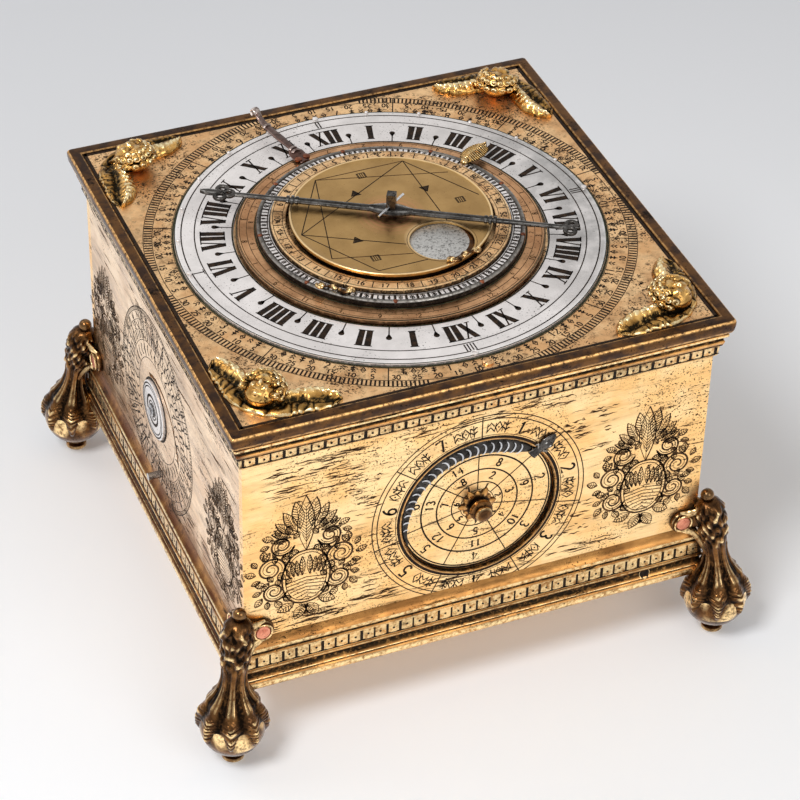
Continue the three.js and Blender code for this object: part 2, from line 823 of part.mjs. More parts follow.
// Dial plate and chapter ring
const chapterOuter = Math.min(halfX, halfY) - frameBand - chapterMargin;
const chapterInner = chapterOuter - chapterBand;
const yearRadius = chapterInner - chapterGap;
const yearTop = dialPlateTop + yearGap + yearWall;
const sunRadius = yearRadius - yearBand;
const sunTop = yearTop + ringGap + sunWall;
const ageOuter = sunRadius - sunBand;
const ageInner = ageOuter - ageBand;
const aspectRadius = ageInner - aspectGap;
const phaseRadius = aspectRadius - ringBevel;
const windowRadius = (aspectRadius - windowRim - windowHub) / 2;
const windowAt = windowHub + windowRadius;
const handCollarAt = aspectRadius - handCollarInset;
const trefoilAt = chapterOuter - trefoilInset;
const trefoilTip = chapterOuter - trefoilTipInset;
const twinRingAt = chapterOuter - twinRingInset;
const aspectTop = sunTop + phaseWall + ringGap + aspectWall;
const handLow = aspectTop + handGap;
const handTop = handLow + handHeight;
const squareTop = handTop + squareRise;

const moonPipeInner = arborRadius + runGap;
const moonPipeOuter = moonPipeInner + pipeWall;
const sunPipeInner = moonPipeOuter + runGap;
const sunPipeOuter = sunPipeInner + pipeWall;
const yearPipeInner = sunPipeOuter + runGap;
const yearPipeOuter = yearPipeInner + pipeWall;

function addDial() {
  const x = openX - dialPlateGap;
  const y = openY - dialPlateGap;
  const outline = [[-x, -y], [x, -y], [x, y], [-x, y]].map(([u, v]) => new THREE.Vector2(u, v));
  const hole = ringPoints(yearPipeOuter + runGap, middleFacets);
  const studLow = upperTop + moonWheelLow - wheelWall;
  const stud = post(idlerStudRadius, studLow, dialPlateTop - dialPlateWall / 2, ...idlerAt);
  part('dial_plate', joined(prism(outline, dialPlateUnder, dialPlateTop, [hole]), stud), dialGilt);
  const ringTop = dialPlateTop + chapterWall;
  const ring = bevelledRing(chapterInner, chapterOuter, dialPlateTop, ringTop, ringBevel / 2, largeFacets);
  const stations = Array.from({ length: touchPinCount + 1 }, (_, i) => (i * Math.PI) / touchPinCount);
  stations.push(-quarterTurn);
  const circle = chapterOuter - touchPinInset;
  const pins = stations.map((angle) => {
    const place = [circle * Math.cos(angle), circle * Math.sin(angle)];
    return post(touchPinRadius, ringTop - chapterWall / 2, ringTop + touchPinHeight, ...place, barFacets);
  });
  part('chapter_ring', joined(ring, ...pins), silvered);
}

// Winged head for the corner in the +X +Y quarter: a rounded face with two wings that follow the
// two edges of the plate.
function cherub() {
  const x = openX - dialPlateGap - cherubIn;
  const y = openY - dialPlateGap - cherubIn;
  const floorZ = dialPlateTop;
  const head = new THREE.SphereGeometry(cherubHead, plainFacets, barFacets).rotateX(quarterTurn);
  head.scale(1, 1, cherubHeight / (cherubHead * 2));
  head.translate(x, y, floorZ + cherubHeight * 0.5);
  const wingShares = [[0.1, 0.05, 0.7, 0.5], [0.4, 0.42, 1, 0.62], [0.7, 0.45, 0.9, 0.5],
    [1, 0.2, 0.35, 0.3]];
  const wing = wingShares.map(([along, aside, width, lift]) => {
    const height = floorZ + lift * wingHeight;
    return [new THREE.Vector3(x - along * wingLength, y + aside * cherubIn, height), width * wingWidth];
  });
  const twin = wingShares.map(([along, aside, width, lift]) => {
    const height = floorZ + lift * wingHeight;
    return [new THREE.Vector3(x + aside * cherubIn, y - along * wingLength, height), width * wingWidth];
  });
  const flat = wingHeight / (wingWidth * 2);
  const under = block(0, halfX, 0, halfY, floorZ - cherubHeight, floorZ);
  return cut(joined(head, skinned(wing, barFacets, flat), skinned(twin, barFacets, flat)), under);
}

function addCherubs() {
  const shape = cherub();
  corners.forEach(([name, signX, signY]) => part(`cherub_${name}`, mirrored(shape, signX, signY), castGilt));
}

// Turning rings

function addYearRing() {
  const plateLow = yearTop - yearWall;
  const pipeLow = dialPlateUnder - yearWall * 2;
  const profile = [[yearPipeInner, pipeLow], [yearPipeOuter, pipeLow], [yearPipeOuter, plateLow],
    [yearRadius, plateLow], [yearRadius, yearTop - ringBevel], [yearRadius - ringBevel, yearTop],
    [yearPipeInner, yearTop], [yearPipeInner, pipeLow]];
  part('year_ring', turned(profile, largeFacets), copperGilt);
  part('date_arm', dateArm(), brownSteel);
  dateRivetPlaces().forEach(([x, y], i) => {
    const high = yearTop + dateArmWall + dateRivetProud;
    const rivet = post(dateRivetRadius, yearTop, high, x, y, tinyFacets);
    part(`date_arm_rivet_${i + 1}`, rivet.rotateZ(dateArmAngleDeg * degree), copperRed);
  });
}

// The steel arm that is riveted to the year ring, crosses the hour ring and points to the date.
function dateArm() {
  const root = yearRadius - dateArmFoot;
  const tip = chapterOuter + dateArmReach;
  const midZ = yearTop + dateArmLift + dateArmWall / 2;
  const footEnds = [root - dateArmFoot / 2, yearRadius - ringBevel];
  const footPlate = block(...footEnds, -dateArmWidth, dateArmWidth, yearTop, yearTop + dateArmWall);
  const rodShares = [[0.04, 0, 1], [0.1, 0.6, 0.95], [0.5, 0.9, 0.75], [0.78, 1, 0.7], [0.92, 1.4, 0.7],
    [1, 0.3, 0.6], [0.99, -0.7, 0.3]];
  const rod = skinned(rodShares.map(([along, lift, width]) => {
    const place = new THREE.Vector3(root + along * (tip - root), 0, midZ + (lift - 1 / 2) * dateArmLift);
    return [place, (width * dateArmWidth) / 2];
  }), barFacets, dateArmWall / dateArmWidth);
  const curl = new THREE.TorusGeometry(dateArmCurl, dateArmWall / 2, barFacets, tinyFacets);
  curl.rotateX(quarterTurn).translate(tip - dateArmCurl, 0, midZ + dateArmCurl + dateArmWall);
  const beside = dateArmWidth * 2;
  const under = block(0, yearRadius + slipGap, -beside, beside, yearTop - dateArmWall * 2, yearTop);
  const ends = [yearTop - overrun, yearTop + dateArmWall + overrun];
  const holes = dateRivetPlaces().map(([x, y]) => {
    return post(dateRivetRadius + runGap, ...ends, x, y, tinyFacets);
  });
  return cut(joined(footPlate, rod, curl), under, ...holes).rotateZ(dateArmAngleDeg * degree);
}

function dateRivetPlaces() {
  const aside = dateArmWidth - dateRivetRadius * 1.4;
  return [[yearRadius - dateArmFoot, aside], [yearRadius - dateArmFoot, -aside]];
}

// A flat S-shaped scroll that lies along a circle, with a point in its middle.
function scroll(radius, spanDeg, angleDeg, low, high) {
  const edgeShares = [[-1, 0.2], [-0.8, 0.75], [-0.45, 0.5], [-0.2, 0.85], [0, 1.25], [0.2, 0.85],
    [0.45, 0.5], [0.8, 0.75], [1, 0.2]];
  const spot = (along, out) => {
    const angle = (angleDeg + (along * spanDeg) / 2) * degree;
    return new THREE.Vector2((radius + out) * Math.cos(angle), (radius + out) * Math.sin(angle));
  };
  const outer = edgeShares.map(([along, out]) => spot(along, out * scrollWidth));
  const inner = edgeShares.map(([along]) => spot(along, 0)).reverse();
  return prism([...outer, ...inner], low, high);
}

// A flat sun with pointed rays and a short foot that stands on the sun ring.
function sunPointer() {
  const out = sunRadius + sunburstOut;
  const innerShare = 0.7;
  const body = Array.from({ length: sunburstRays * 2 }, (_, i) => {
    const angle = (i / (sunburstRays * 2)) * fullTurn;
    const share = i % 2 === 0 ? 1 : innerShare;
    const along = share * sunburstLong * Math.cos(angle);
    return new THREE.Vector2(out + along, share * sunburstWide * Math.sin(angle));
  });
  const low = sunTop + sunburstWall;
  const burst = prism(body, low, low + sunburstWall);
  const half = sunburstFoot / 2;
  const stemEnds = [ageOuter + seatGap, out - sunburstLong / 2];
  const stem = block(...stemEnds, -half, half, sunTop, low + sunburstWall / 2);
  const under = block(sunRadius - ringBevel, out, -half * 2, half * 2, sunTop - overrun, low);
  return cut(joined(burst, stem), under).rotateZ(sunPointerAngleDeg * degree);
}

function addSunRings() {
  const plateLow = sunTop - sunWall;
  const pipeLow = upperTop + sunWheelLow + wheelWall;
  const profile = [[sunPipeInner, pipeLow], [sunPipeOuter, pipeLow], [sunPipeOuter, plateLow],
    [sunRadius, plateLow], [sunRadius, sunTop - ringBevel / 2], [sunRadius - ringBevel / 2, sunTop],
    [sunPipeInner, sunTop], [sunPipeInner, pipeLow]];
  const age = bevelledRing(ageInner, ageOuter, sunTop, sunTop + ageWall, ringBevel, largeFacets);
  part('age_ring', age, dialGilt);
  const phaseTop = sunTop + phaseWall;
  const phase = bevelledRing(sunPipeOuter, phaseRadius, sunTop, phaseTop, ringBevel / 2, middleFacets);
  part('phase_disc', phase, silvered);
  const circle = (sunRadius + ageOuter) / 2;
  const startShare = 0.28;
  const rivets = Array.from({ length: sunRivetCount }, (_, i) => {
    const angle = ((i + startShare) / sunRivetCount) * fullTurn;
    const [x, y] = [circle * Math.cos(angle), circle * Math.sin(angle)];
    return post(sunRivetRadius, sunTop - sunWall / 2, sunTop + sunRivetProud, x, y, barFacets);
  });
  part('sun_ring', joined(turned(profile, largeFacets), ...rivets), darkSilver);
  part('sun_pointer', sunPointer(), castGilt);
  const scrollTop = sunTop + sunScrollWall;
  const sunScroll = scroll(ageOuter + seatGap, sunScrollSpanDeg, sunScrollAngleDeg, sunTop, scrollTop);
  part('sun_scroll', sunScroll, castGilt);
}

function addAspectDisc() {
  const plateLow = aspectTop - aspectWall;
  const pipeLow = upperTop + moonWheelLow + wheelWall;
  const profile = [[moonPipeInner, pipeLow], [moonPipeOuter, pipeLow], [moonPipeOuter, plateLow],
    [aspectRadius, plateLow], [aspectRadius, aspectTop - ringBevel / 2],
    [aspectRadius - ringBevel / 2, aspectTop], [moonPipeInner, aspectTop], [moonPipeInner, pipeLow]];
  const windowPlace = polar(windowAt, windowAngleDeg);
  const windowEnds = [plateLow - overrun / 2, aspectTop + overrun];
  const opening = post(windowRadius, ...windowEnds, ...windowPlace, middleFacets);
  part('aspect_disc', cut(turned(profile, largeFacets), opening), dialGilt);
  const scrollRoot = aspectRadius - ringBevel * 3;
  const scrollTop = aspectTop + scrollWall;
  const moonScroll = scroll(scrollRoot, moonScrollSpanDeg, moonScrollAngleDeg, aspectTop, scrollTop);
  part('moon_scroll', moonScroll, castGilt);
}

// Centre arbor with its square, the long hand and the pin that holds it down

function addHand() {
  const turn = handAngleDeg * degree;
  const tail = upperLow - arborTail;
  const collarLow = upperTop + seatGap;
  const half = squareSide / 2;
  const square = block(-half, half, -half, half, handLow - handHeight / 4, squareTop).rotateZ(turn);
  const arbor = joined(
    post(arborRadius, tail, handLow, 0, 0, plainFacets),
    post(arborCollarRadius, collarLow, collarLow + arborCollarWall, 0, 0, plainFacets),
    square,
  );
  const pinHeight = handTop + taperPinLift;
  const bore = post(taperPinRadius + runGap, -squareSide * 2, squareSide * 2, 0, 0, tinyFacets);
  bore.rotateY(quarterTurn).rotateZ(taperPinAngleDeg * degree).translate(0, 0, pinHeight);
  part('centre_arbor', cut(arbor, bore), blackSteel);
  part('long_hand', longHand().rotateZ(turn), blackSteel);
  const thinShare = 0.7;
  const headShare = 0.4;
  const ends = [-taperPinLength * headShare, taperPinLength * (1 - headShare)];
  const pinProfile = [[0, ends[0]], [taperPinRadius * thinShare, ends[0]], [taperPinRadius, ends[1]],
    [0, ends[1]]];
  const pin = turned(pinProfile, tinyFacets);
  pin.rotateY(quarterTurn).rotateZ(taperPinAngleDeg * degree).translate(0, 0, pinHeight);
  part('taper_pin', pin, brightSteel);
}

// The double-ended hand along X: hub, two bars with collars, a pierced trefoil with a leaf point on
// one end and a pair of rings on the other.
function longHand() {
  const top = handTop;
  const half = handWidth / 2;
  const hubShares = [[1, 0.16], [0.72, 0.34], [0.45, 0.92], [0.15, 1], [-0.15, 1], [-0.45, 0.92],
    [-0.72, 0.34], [-1, 0.16]];
  const edge = (sign) => hubShares.map(([along, aside]) => {
    return new THREE.Vector2(along * handHubLength, sign * aside * handHubWidth);
  });
  const hub = prism([...edge(1), ...edge(-1).reverse()], handLow, top);
  const barLow = handLow + seatGap / 2;
  const bars = [
    block(0, trefoilAt, -half, half, barLow, top),
    block(-twinRingAt, 0, -half, half, barLow, top),
  ];
  const collars = [1, -1].map((side) => {
    const at = side * handCollarAt;
    return block(at - half, at + half, -handCollar / 2, handCollar / 2, handLow, top + seatGap / 2);
  });
  const ringSpots = [[trefoilAt, handRing], [trefoilAt, -handRing], [trefoilAt + handRing * 1.4, 0],
    [-twinRingAt, handRing], [-twinRingAt, -handRing]];
  const rings = ringSpots.map(([x, y]) => post(handRing, barLow, top, x, y, tinyFacets));
  const leafStart = trefoilAt + handRing * 2.1;
  const leafCorners = [[leafStart, handRing * 0.6], [leafStart, -handRing * 0.6], [trefoilTip, 0]];
  const leaf = prism(leafCorners.map(([x, y]) => new THREE.Vector2(x, y)), barLow, top);
  const stub = block(-twinRingAt - handRing, -twinRingAt, -half / 2, half / 2, barLow, top);
  const holeEnds = [handLow - overrun, top + overrun];
  const holes = ringSpots.map(([x, y]) => post(handRingHole, ...holeEnds, x, y, barFacets));
  const seat = squareSide / 2 + runGap;
  const squareHole = block(-seat, seat, -seat, seat, ...holeEnds);
  return cut(joined(hub, ...bars, ...collars, ...rings, leaf, stub), ...holes, squareHole);
}

// Weekday dial

// The arbor of the front dial ends in a seven-pointed star inside the case, and a bridge behind
// the panel carries it. Pieces of the front dial are drawn lying flat and then stood up against
// the front of the case.
const upright = (geometry) => geometry.rotateX(quarterTurn).translate(0, 0, weekdayZ);
const weekdayFace = bodyY - weekdaySunk;

function addWeekdayDial() {
  const hole = ringPoints(weekdayArborRadius + runGap, smallFacets);
  const disc = prism(ringPoints(weekdayRadius, largeFacets), weekdayFace - weekdayWall, weekdayFace, [hole]);
  part('weekday_disc', upright(disc), gilt);
  const bridgeHigh = bodyY - panelWall;
  const starHigh = bridgeHigh - weekdayBridgeWall - weekdayStarBack;
  const inner = starHigh - weekdayStarWall * 1.5;
  const knobBase = weekdayFace + runGap;
  const knobShares = [[0, 1], [0.55, 0.98], [0.8, 0.85], [0.62, 0.66], [1, 0.42], [0.92, 0.2],
    [0.6, 0.08], [1.1, 0]];
  const profile = knobShares.map(([radius, rise]) => {
    return [radius * weekdayKnobRadius, knobBase + rise * weekdayKnobLength];
  });
  profile.push([weekdayArborRadius, knobBase], [weekdayArborRadius, inner], [0, inner]);
  const long = weekdayBridgeLength / 2;
  const wide = weekdayBridgeWidth / 2;
  const bridgeEnds = [[-long, -wide], [long, -wide], [long, wide], [-long, wide]];
  const outline = bridgeEnds.map(([u, v]) => new THREE.Vector2(u, v));
  const bridge = prism(outline, bridgeHigh - weekdayBridgeWall, bridgeHigh, [hole]);
  part('weekday_bridge', upright(bridge), movementBrass);
  const star = Array.from({ length: weekdayStarPoints * 2 }, (_, i) => {
    const radius = i % 2 === 0 ? weekdayStarRadius : weekdayStarRadius / 2;
    const angle = (i / (weekdayStarPoints * 2)) * fullTurn;
    return new THREE.Vector2(radius * Math.cos(angle), radius * Math.sin(angle));
  });
  const driven = prism(star, starHigh - weekdayStarWall, starHigh);
  part('weekday_arbor', upright(joined(turned(profile, plainFacets), driven)), darkBronze);
  part('weekday_serpent', upright(serpent()), blackSteel);
}

// The steel serpent lies round the rim of the weekday disc, widest behind its head. The head
// rises over the panel and points at the name of the day.
function serpent() {
  const spot = (radius, angleDeg) => new THREE.Vector2(...polar(radius, angleDeg));
  const rim = weekdayRadius - runGap;
  const thinShare = 0.12;
  const outer = [];
  const inner = [];
  for (let i = 0; i <= serpentSteps; i += 1) {
    const share = i / serpentSteps;
    const angle = serpentTailDeg + (serpentNeckDeg - serpentTailDeg) * share;
    const width = serpentWidth * (thinShare + (1 - thinShare) * Math.sin(share * quarterTurn));
    outer.push(spot(rim, angle));
    inner.push(spot(rim - width, angle));
  }
  const neck = [spot(rim, serpentHeadDeg), spot(rim - serpentWidth, serpentHeadDeg)];
  const body = prism([...outer, ...neck, ...inner.reverse()], weekdayFace, weekdayFace + serpentWall);
  const headLow = bodyY + serpentHeadLift;
  const headShares = [[-0.7, 0.7], [-0.4, 1], [0.25, 0.8], [0.6, 0.35], [1, 0.1]];
  const along = spot(1, serpentHeadDeg);
  const side = new THREE.Vector2(-along.y, along.x);
  const edge = (sign) => headShares.map(([reach, width]) => {
    const out = weekdayRadius + reach * serpentHeadReach;
    return along.clone().multiplyScalar(out).addScaledVector(side, (sign * width * serpentHeadWidth) / 2);
  });
  const head = prism([...edge(1), ...edge(-1).reverse()], headLow, headLow + serpentWall);
  const riseOut = rim - serpentWidth / 2;
  const riseAt = polar(riseOut, (serpentHeadDeg + serpentNeckDeg) / 2);
  const rise = post(serpentHeadWidth / 2, weekdayFace, headLow + serpentWall / 2, ...riseAt, tinyFacets);
  return joined(body, head, rise);
}

// Setting disc and push pin on the left side

function addLeftSide() {
  const leftward = (geometry, y, z) => geometry.rotateY(-quarterTurn).translate(0, y, z);
  const nutHigh = bodyX - panelWall - seatGap;
  const disc = joined(
    post(settingRadius, bodyX + seatGap / 2, bodyX + seatGap / 2 + settingWall, 0, 0, middleFacets),
    post(settingArborRadius, nutHigh - settingNutWall * 1.5, bodyX + settingWall, 0, 0, plainFacets),
    post(settingNutRadius, nutHigh - settingNutWall, nutHigh, 0, 0, plainFacets),
  );
  part('setting_disc', leftward(disc, settingY, settingZ), silvered);
  const inner = bodyX - panelWall - pushPinInside;
  const pin = joined(
    post(pushPinRadius, inner, bodyX + pushPinProud, 0, 0, plainFacets),
    post(pushPinRadius * 1.6, inner, inner + pushPinInside / 2, 0, 0, plainFacets),
  );
  part('push_pin', leftward(pin, pushPinY, pushPinZ), brightSteel);
}

// Movement plates and pillars


const octagon = eightSided(plateHalf, plateHalf, plateCorner);

const quarters = [[1, 1], [-1, 1], [-1, -1], [1, -1]];

function addPlates() {
  const hole = (radius, [x, y]) => ringPoints(radius + runGap, smallFacets, x, y);
  const small = (radius, [x, y]) => ringPoints(radius + runGap, plainFacets, x, y);
  const shared = [hole(fuseeArborRadius, fuseeAt), hole(barrelArborRadius, barrelAt),
    small(wheelArborRadius, secondAt), small(wheelArborRadius, contrateAt), small(vergeRadius, vergeAt)];
  const necks = quarters.map(([x, y]) => {
    return ringPoints(pillarNeck + runGap, tinyFacets, x * pillarAt, y * pillarAt);
  });
  const upperHoles = [...shared, hole(arborRadius, [0, 0]), ...necks];
  part('upper_plate', prism(octagon, upperLow, upperTop, upperHoles), movementBrass);
  const footRadius = pillarRadius * 1.4;
  const profile = [[0, lowerPlateZ], [footRadius, lowerPlateZ], [footRadius, lowerTop],
    [pillarRadius, lowerTop + pillarRadius],
    [pillarRadius, upperLow - pillarRadius], [footRadius, upperLow], [pillarNeck, upperLow],
    [pillarNeck, dialPlateUnder], [0, dialPlateUnder]];
  const pillars = quarters.map(([x, y]) => {
    return turned(profile, tinyFacets).translate(x * pillarAt, y * pillarAt, 0);
  });
  part('lower_plate', joined(prism(octagon, lowerPlateZ, lowerTop, shared), ...pillars), movementBrass);
}

function addBarrel() {
  const low = lowerTop + barrelLow;
  const high = low + barrelHeight;
  const bore = barrelArborRadius + runGap;
  const inside = barrelRadius - barrelWall;
  const profile = [[bore, low], [barrelRadius, low], [barrelRadius, high], [bore, high],
    [bore, high - barrelWall], [inside, high - barrelWall], [inside, low + barrelWall],
    [bore, low + barrelWall], [bore, low]];
  const drum = turned(profile, middleFacets);
  part('spring_barrel', drum.translate(barrelX, barrelY, 0), movementBrass);
  const arbor = post(barrelArborRadius, lowerPlateZ - plateWall, upperTop + plateWall / 2, barrelX, barrelY);
  part('barrel_arbor', arbor, brightSteel);
  part('mainspring', spring().translate(barrelX, barrelY, low + barrelWall + seatGap), brightSteel);
}

// The spring strip as a flat spiral from the arbor out to the wall of the barrel.
function spring() {
  const inner = barrelArborRadius + seatGap + springStrip / 2;
  const outer = barrelRadius - barrelWall - seatGap - springStrip / 2;
  const count = springTurns * springSteps;
  const edge = (offset) => Array.from({ length: count + 1 }, (_, i) => {
    const radius = inner + ((outer - inner) * i) / count + offset;
    const angle = (i / springSteps) * fullTurn;
    return new THREE.Vector2(radius * Math.cos(angle), radius * Math.sin(angle));
  });
  const height = barrelHeight - (barrelWall + seatGap) * 2;
  return prism([...edge(springStrip / 2), ...edge(-springStrip / 2).reverse()], 0, height);
}

function addFusee() {
  const low = lowerTop + fuseeLow;
  const step = fuseeHeight / fuseeGrooves;
  const grooveShares = [0.35, 0.75];
  const profile = [[0, low], [fuseeBottomRadius + fuseeGrooveDepth, low]];
  for (let i = 0; i < fuseeGrooves; i += 1) {
    const radius = fuseeBottomRadius + ((fuseeTopRadius - fuseeBottomRadius) * i) / fuseeGrooves;
    profile.push([radius + fuseeGrooveDepth, low + step * (i + grooveShares[0])]);
    profile.push([radius - fuseeGrooveDepth, low + step * (i + grooveShares[1])]);
  }
  profile.push([fuseeTopRadius, low + fuseeHeight], [0, low + fuseeHeight]);
  const half = fuseeSquare / 2;
  const tail = lowerPlateZ - plateWall;
  const toCentre = (fuseeDirectionDeg + 180) * degree;
  const leaves = leafOutline(dayLeaves, dayModule, toCentre + Math.PI / dayLeaves);
  const pinionLow = upperTop + dayWheelLow - wheelWall / 2;
  const arbor = joined(
    turned(profile, plainFacets),
    post(fuseeArborRadius, tail, pinionLow + wheelWall * 2, 0, 0, plainFacets),
    block(-half, half, -half, half, tail - fuseeSquareLength, tail + plateWall / 2),
    prism(leaves, pinionLow, pinionLow + wheelWall * 2),
  );
  const place = (geometry) => geometry.translate(fuseeAt[0], fuseeAt[1], 0);
  part('fusee', place(arbor), movementBrass);
  const wheelLow = lowerTop + greatLow;
  const outline = wheelOutline(greatTeeth, greatModule, secondDirectionDeg * degree);
  const pitch = pitchRadius(greatTeeth, greatModule);
  const wheel = spokedWheel(outline, wheelLow, fuseeArborRadius + runGap, pitch);
  part('great_wheel', place(wheel), movementBrass);
}

// Going train

// An arbor with its pinion. The tail of the arbor turns in both plates.
function arborWithPinion(leaves, size, start, low, high) {
  const ends = [lowerPlateZ - plateWall / 4, upperTop + plateWall / 4];
  const arbor = post(wheelArborRadius, ends[0], ends[1], 0, 0, plainFacets);
  return joined(prism(leafOutline(leaves, size, start), low, high), arbor);
}

function addTrain() {
  const greatMid = lowerTop + greatLow + wheelWall / 2;
  const toGreat = (secondDirectionDeg + 180) * degree;
  const secondPinion = arborWithPinion(greatLeaves, greatModule, toGreat + Math.PI / greatLeaves,
    greatMid - pinionLength / 2, greatMid + pinionLength / 2);
  const toContrate = contrateDirectionDeg * degree;
  const secondZ = lowerTop + secondLow;
  const secondOutline = wheelOutline(secondTeeth, secondModule, toContrate);
  const secondPitch = pitchRadius(secondTeeth, secondModule);
  const secondPlate = spokedWheel(secondOutline, secondZ, wheelArborRadius / 2, secondPitch);
  part('second_wheel', joined(secondPinion, secondPlate).translate(...secondAt, 0), movementBrass);
  const secondMid = secondZ + wheelWall / 2;
  const toSecond = toContrate + Math.PI;
  const contratePinion = arborWithPinion(secondLeaves, secondModule, toSecond + Math.PI / secondLeaves,
    secondMid - pinionLength / 2, secondMid + pinionLength / 2);
  part('contrate_wheel', joined(contratePinion, contrateBody()).translate(...contrateAt, 0), movementBrass);
  addCrownWheel();
}

const contrateTop = lowerTop + contrateLow + wheelWall + contrateTooth;

function contrateBody() {
  const low = lowerTop + contrateLow;
  const outer = contratePitch + contrateRim / 2;
  const inner = contratePitch - contrateRim / 2;
  const start = crownDirectionDeg * degree - Math.PI / contrateTeeth;
  const middleShare = 0.5;
  const ring = crownRing(inner, outer, low, low + wheelWall, contrateTop, contrateTeeth, start, middleShare);
  const plate = wheelPlate(ringPoints(inner + contrateRim / 4, middleFacets), low, low + wheelWall / 2,
    wheelArborRadius / 2, 0, 0);
  return joined(ring, plate);
}

// The crown wheel lies on a level arbor that points away from the contrate wheel.
const meshShare = 0.2;
const crownPitch = pitchRadius(crownLeaves, contrateModule);
const crownAxisZ = contrateTop + crownPitch - contrateTooth * (1 / 2 - meshShare);

function outward(geometry) {
  geometry.rotateY(quarterTurn).rotateZ(crownDirectionDeg * degree);
  return geometry.translate(...contrateAt, crownAxisZ);
}

function addCrownWheel() {
  const leaves = leafOutline(crownLeaves, contrateModule, Math.PI / crownLeaves);
  const pinion = prism(leaves, contratePitch - contrateRim, contratePitch + contrateRim);
  const arborEnds = [contratePitch - contrateRim * 1.5, crownOut + crownRim];
  const arbor = post(wheelArborRadius, ...arborEnds, 0, 0, plainFacets);
  const inner = crownRadius - crownRim;
  const hub = wheelPlate(ringPoints(inner + crownRim / 2, smallFacets), crownOut, crownOut + crownRim / 2,
    wheelArborRadius / 2, 0, 0);
  const leanShare = 0.15;
  const root = crownOut + crownRim;
  const ring = crownRing(inner, crownRadius, crownOut, root, root + crownTooth, crownTeeth, 0, leanShare);
  part('crown_wheel', outward(joined(pinion, arbor, hub, ring)), movementBrass);
  const half = potenceWidth / 2;
  const bracket = block(potenceOut, potenceOut + potenceWall, -half, half, lowerTop, crownAxisZ + half);
  bracket.rotateZ(crownDirectionDeg * degree).translate(...contrateAt, 0);
  const boreEnds = [potenceOut - overrun, potenceOut + potenceWall + overrun];
  const boreRadius = (wheelArborRadius + runGap) / Math.cos(Math.PI / plainFacets);
  const bore = outward(post(boreRadius, ...boreEnds, 0, 0, plainFacets));
  part('crown_potence', cut(bracket, bore), movementBrass);
}

// The upright verge with its two pallets, the balance wheel under the lower plate and its cock.
function addEscapement() {
  const balanceTop = lowerPlateZ - balanceDrop;
  const cockTop = balanceTop - balanceWall - cockDrop;
  const staff = post(vergeRadius, cockTop - cockWall / 2, upperLow + plateWall / 2, 0, 0, plainFacets);
  const middle = crownRadius - crownRim / 2;
  const pallets = [1, -1].map((sign) => {
    const height = crownAxisZ + sign * middle;
    const ends = [height - palletHeight / 2, height + palletHeight / 2];
    const flag = block(0, palletReach, -palletWidth / 2, palletWidth / 2, ...ends);
    return flag.rotateZ((crownDirectionDeg + 180 + (sign * palletSpreadDeg) / 2) * degree);
  });
  const place = (geometry) => geometry.translate(vergeAt[0], vergeAt[1], 0);
  part('verge', place(joined(staff, ...pallets)), brightSteel);
  const wheel = wheelPlate(ringPoints(balanceRadius, middleFacets), balanceTop - balanceWall, balanceTop,
    vergeRadius + runGap, balanceRadius - balanceRim, vergeRadius * 3);
  part('balance_wheel', place(wheel), movementBrass);
  const legIn = balanceRadius + cockClear;
  const legOut = legIn + cockWidth;
  const half = cockWidth / 2;
  const tongue = block(-half, legOut, -half, half, cockTop - cockWall, cockTop);
  const leg = block(legIn, legOut, -half, half, cockTop - cockWall, lowerPlateZ);
  const boreEnds = [cockTop - cockWall - overrun, cockTop + overrun];
  const bore = post(vergeRadius + runGap, ...boreEnds, 0, 0, plainFacets);
  const cock = cut(joined(tongue, leg), bore).rotateZ(cockDirectionDeg * degree);
  part('balance_cock', place(cock), movementBrass);
}

// Wheels under the dial

function addDialWork() {
  const dayPitch = pitchRadius(dayTeeth, dayModule);
  const dayOutline = wheelOutline(dayTeeth, dayModule, fuseeDirectionDeg * degree);
  const dayLow = upperTop + dayWheelLow;
  part('day_wheel', spokedWheel(dayOutline, dayLow, arborRadius + runGap, dayPitch), movementBrass);
  const toIdler = idlerDirectionDeg * degree;
  const sunPitch = pitchRadius(sunTeeth, idlerModule);
  const moonPitch = (idlerSpread * moonTeeth) / (moonTeeth + idlerLeaves) - runGap * 2;
  const wheels = [['sun_wheel', sunTeeth, sunPitch, sunWheelLow, sunPipeInner],
    ['moon_wheel', moonTeeth, moonPitch, moonWheelLow, moonPipeInner]];
  wheels.forEach(([name, teeth, pitch, lift, hole]) => {
    const outline = wheelOutline(teeth, idlerModule, toIdler, pitch);
    part(name, spokedWheel(outline, upperTop + lift, hole, pitch), movementBrass);
  });
  const leaves = leafOutline(idlerLeaves, idlerModule, toIdler + Math.PI + Math.PI / idlerLeaves);
  const idlerLow = upperTop + moonWheelLow - wheelWall / 2;
  const idlerHigh = upperTop + sunWheelLow + wheelWall * 1.5;
  const idler = prism(leaves, idlerLow, idlerHigh, [ringPoints(idlerStudRadius + runGap, smallFacets)]);
  part('idler_pinion', idler.translate(idlerAt[0], idlerAt[1], 0), brightSteel);
}

addCase();
addCover();
addFeet();
addDial();
addCherubs();
addYearRing();
addSunRings();
addAspectDisc();
addHand();
addWeekdayDial();
addLeftSide();
addPlates();
addBarrel();
addFusee();
addTrain();
addEscapement();
addDialWork();

export default object;
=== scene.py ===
"""Astronomical table clock: the engraved gilt case on claw feet, its turning dials, steel hand,
winged heads and weekday dial, each in the finish of its own metal. Lengths are millimetres."""
import math
import bmesh
import bpy
import numpy as np
from mathutils import Matrix, Vector


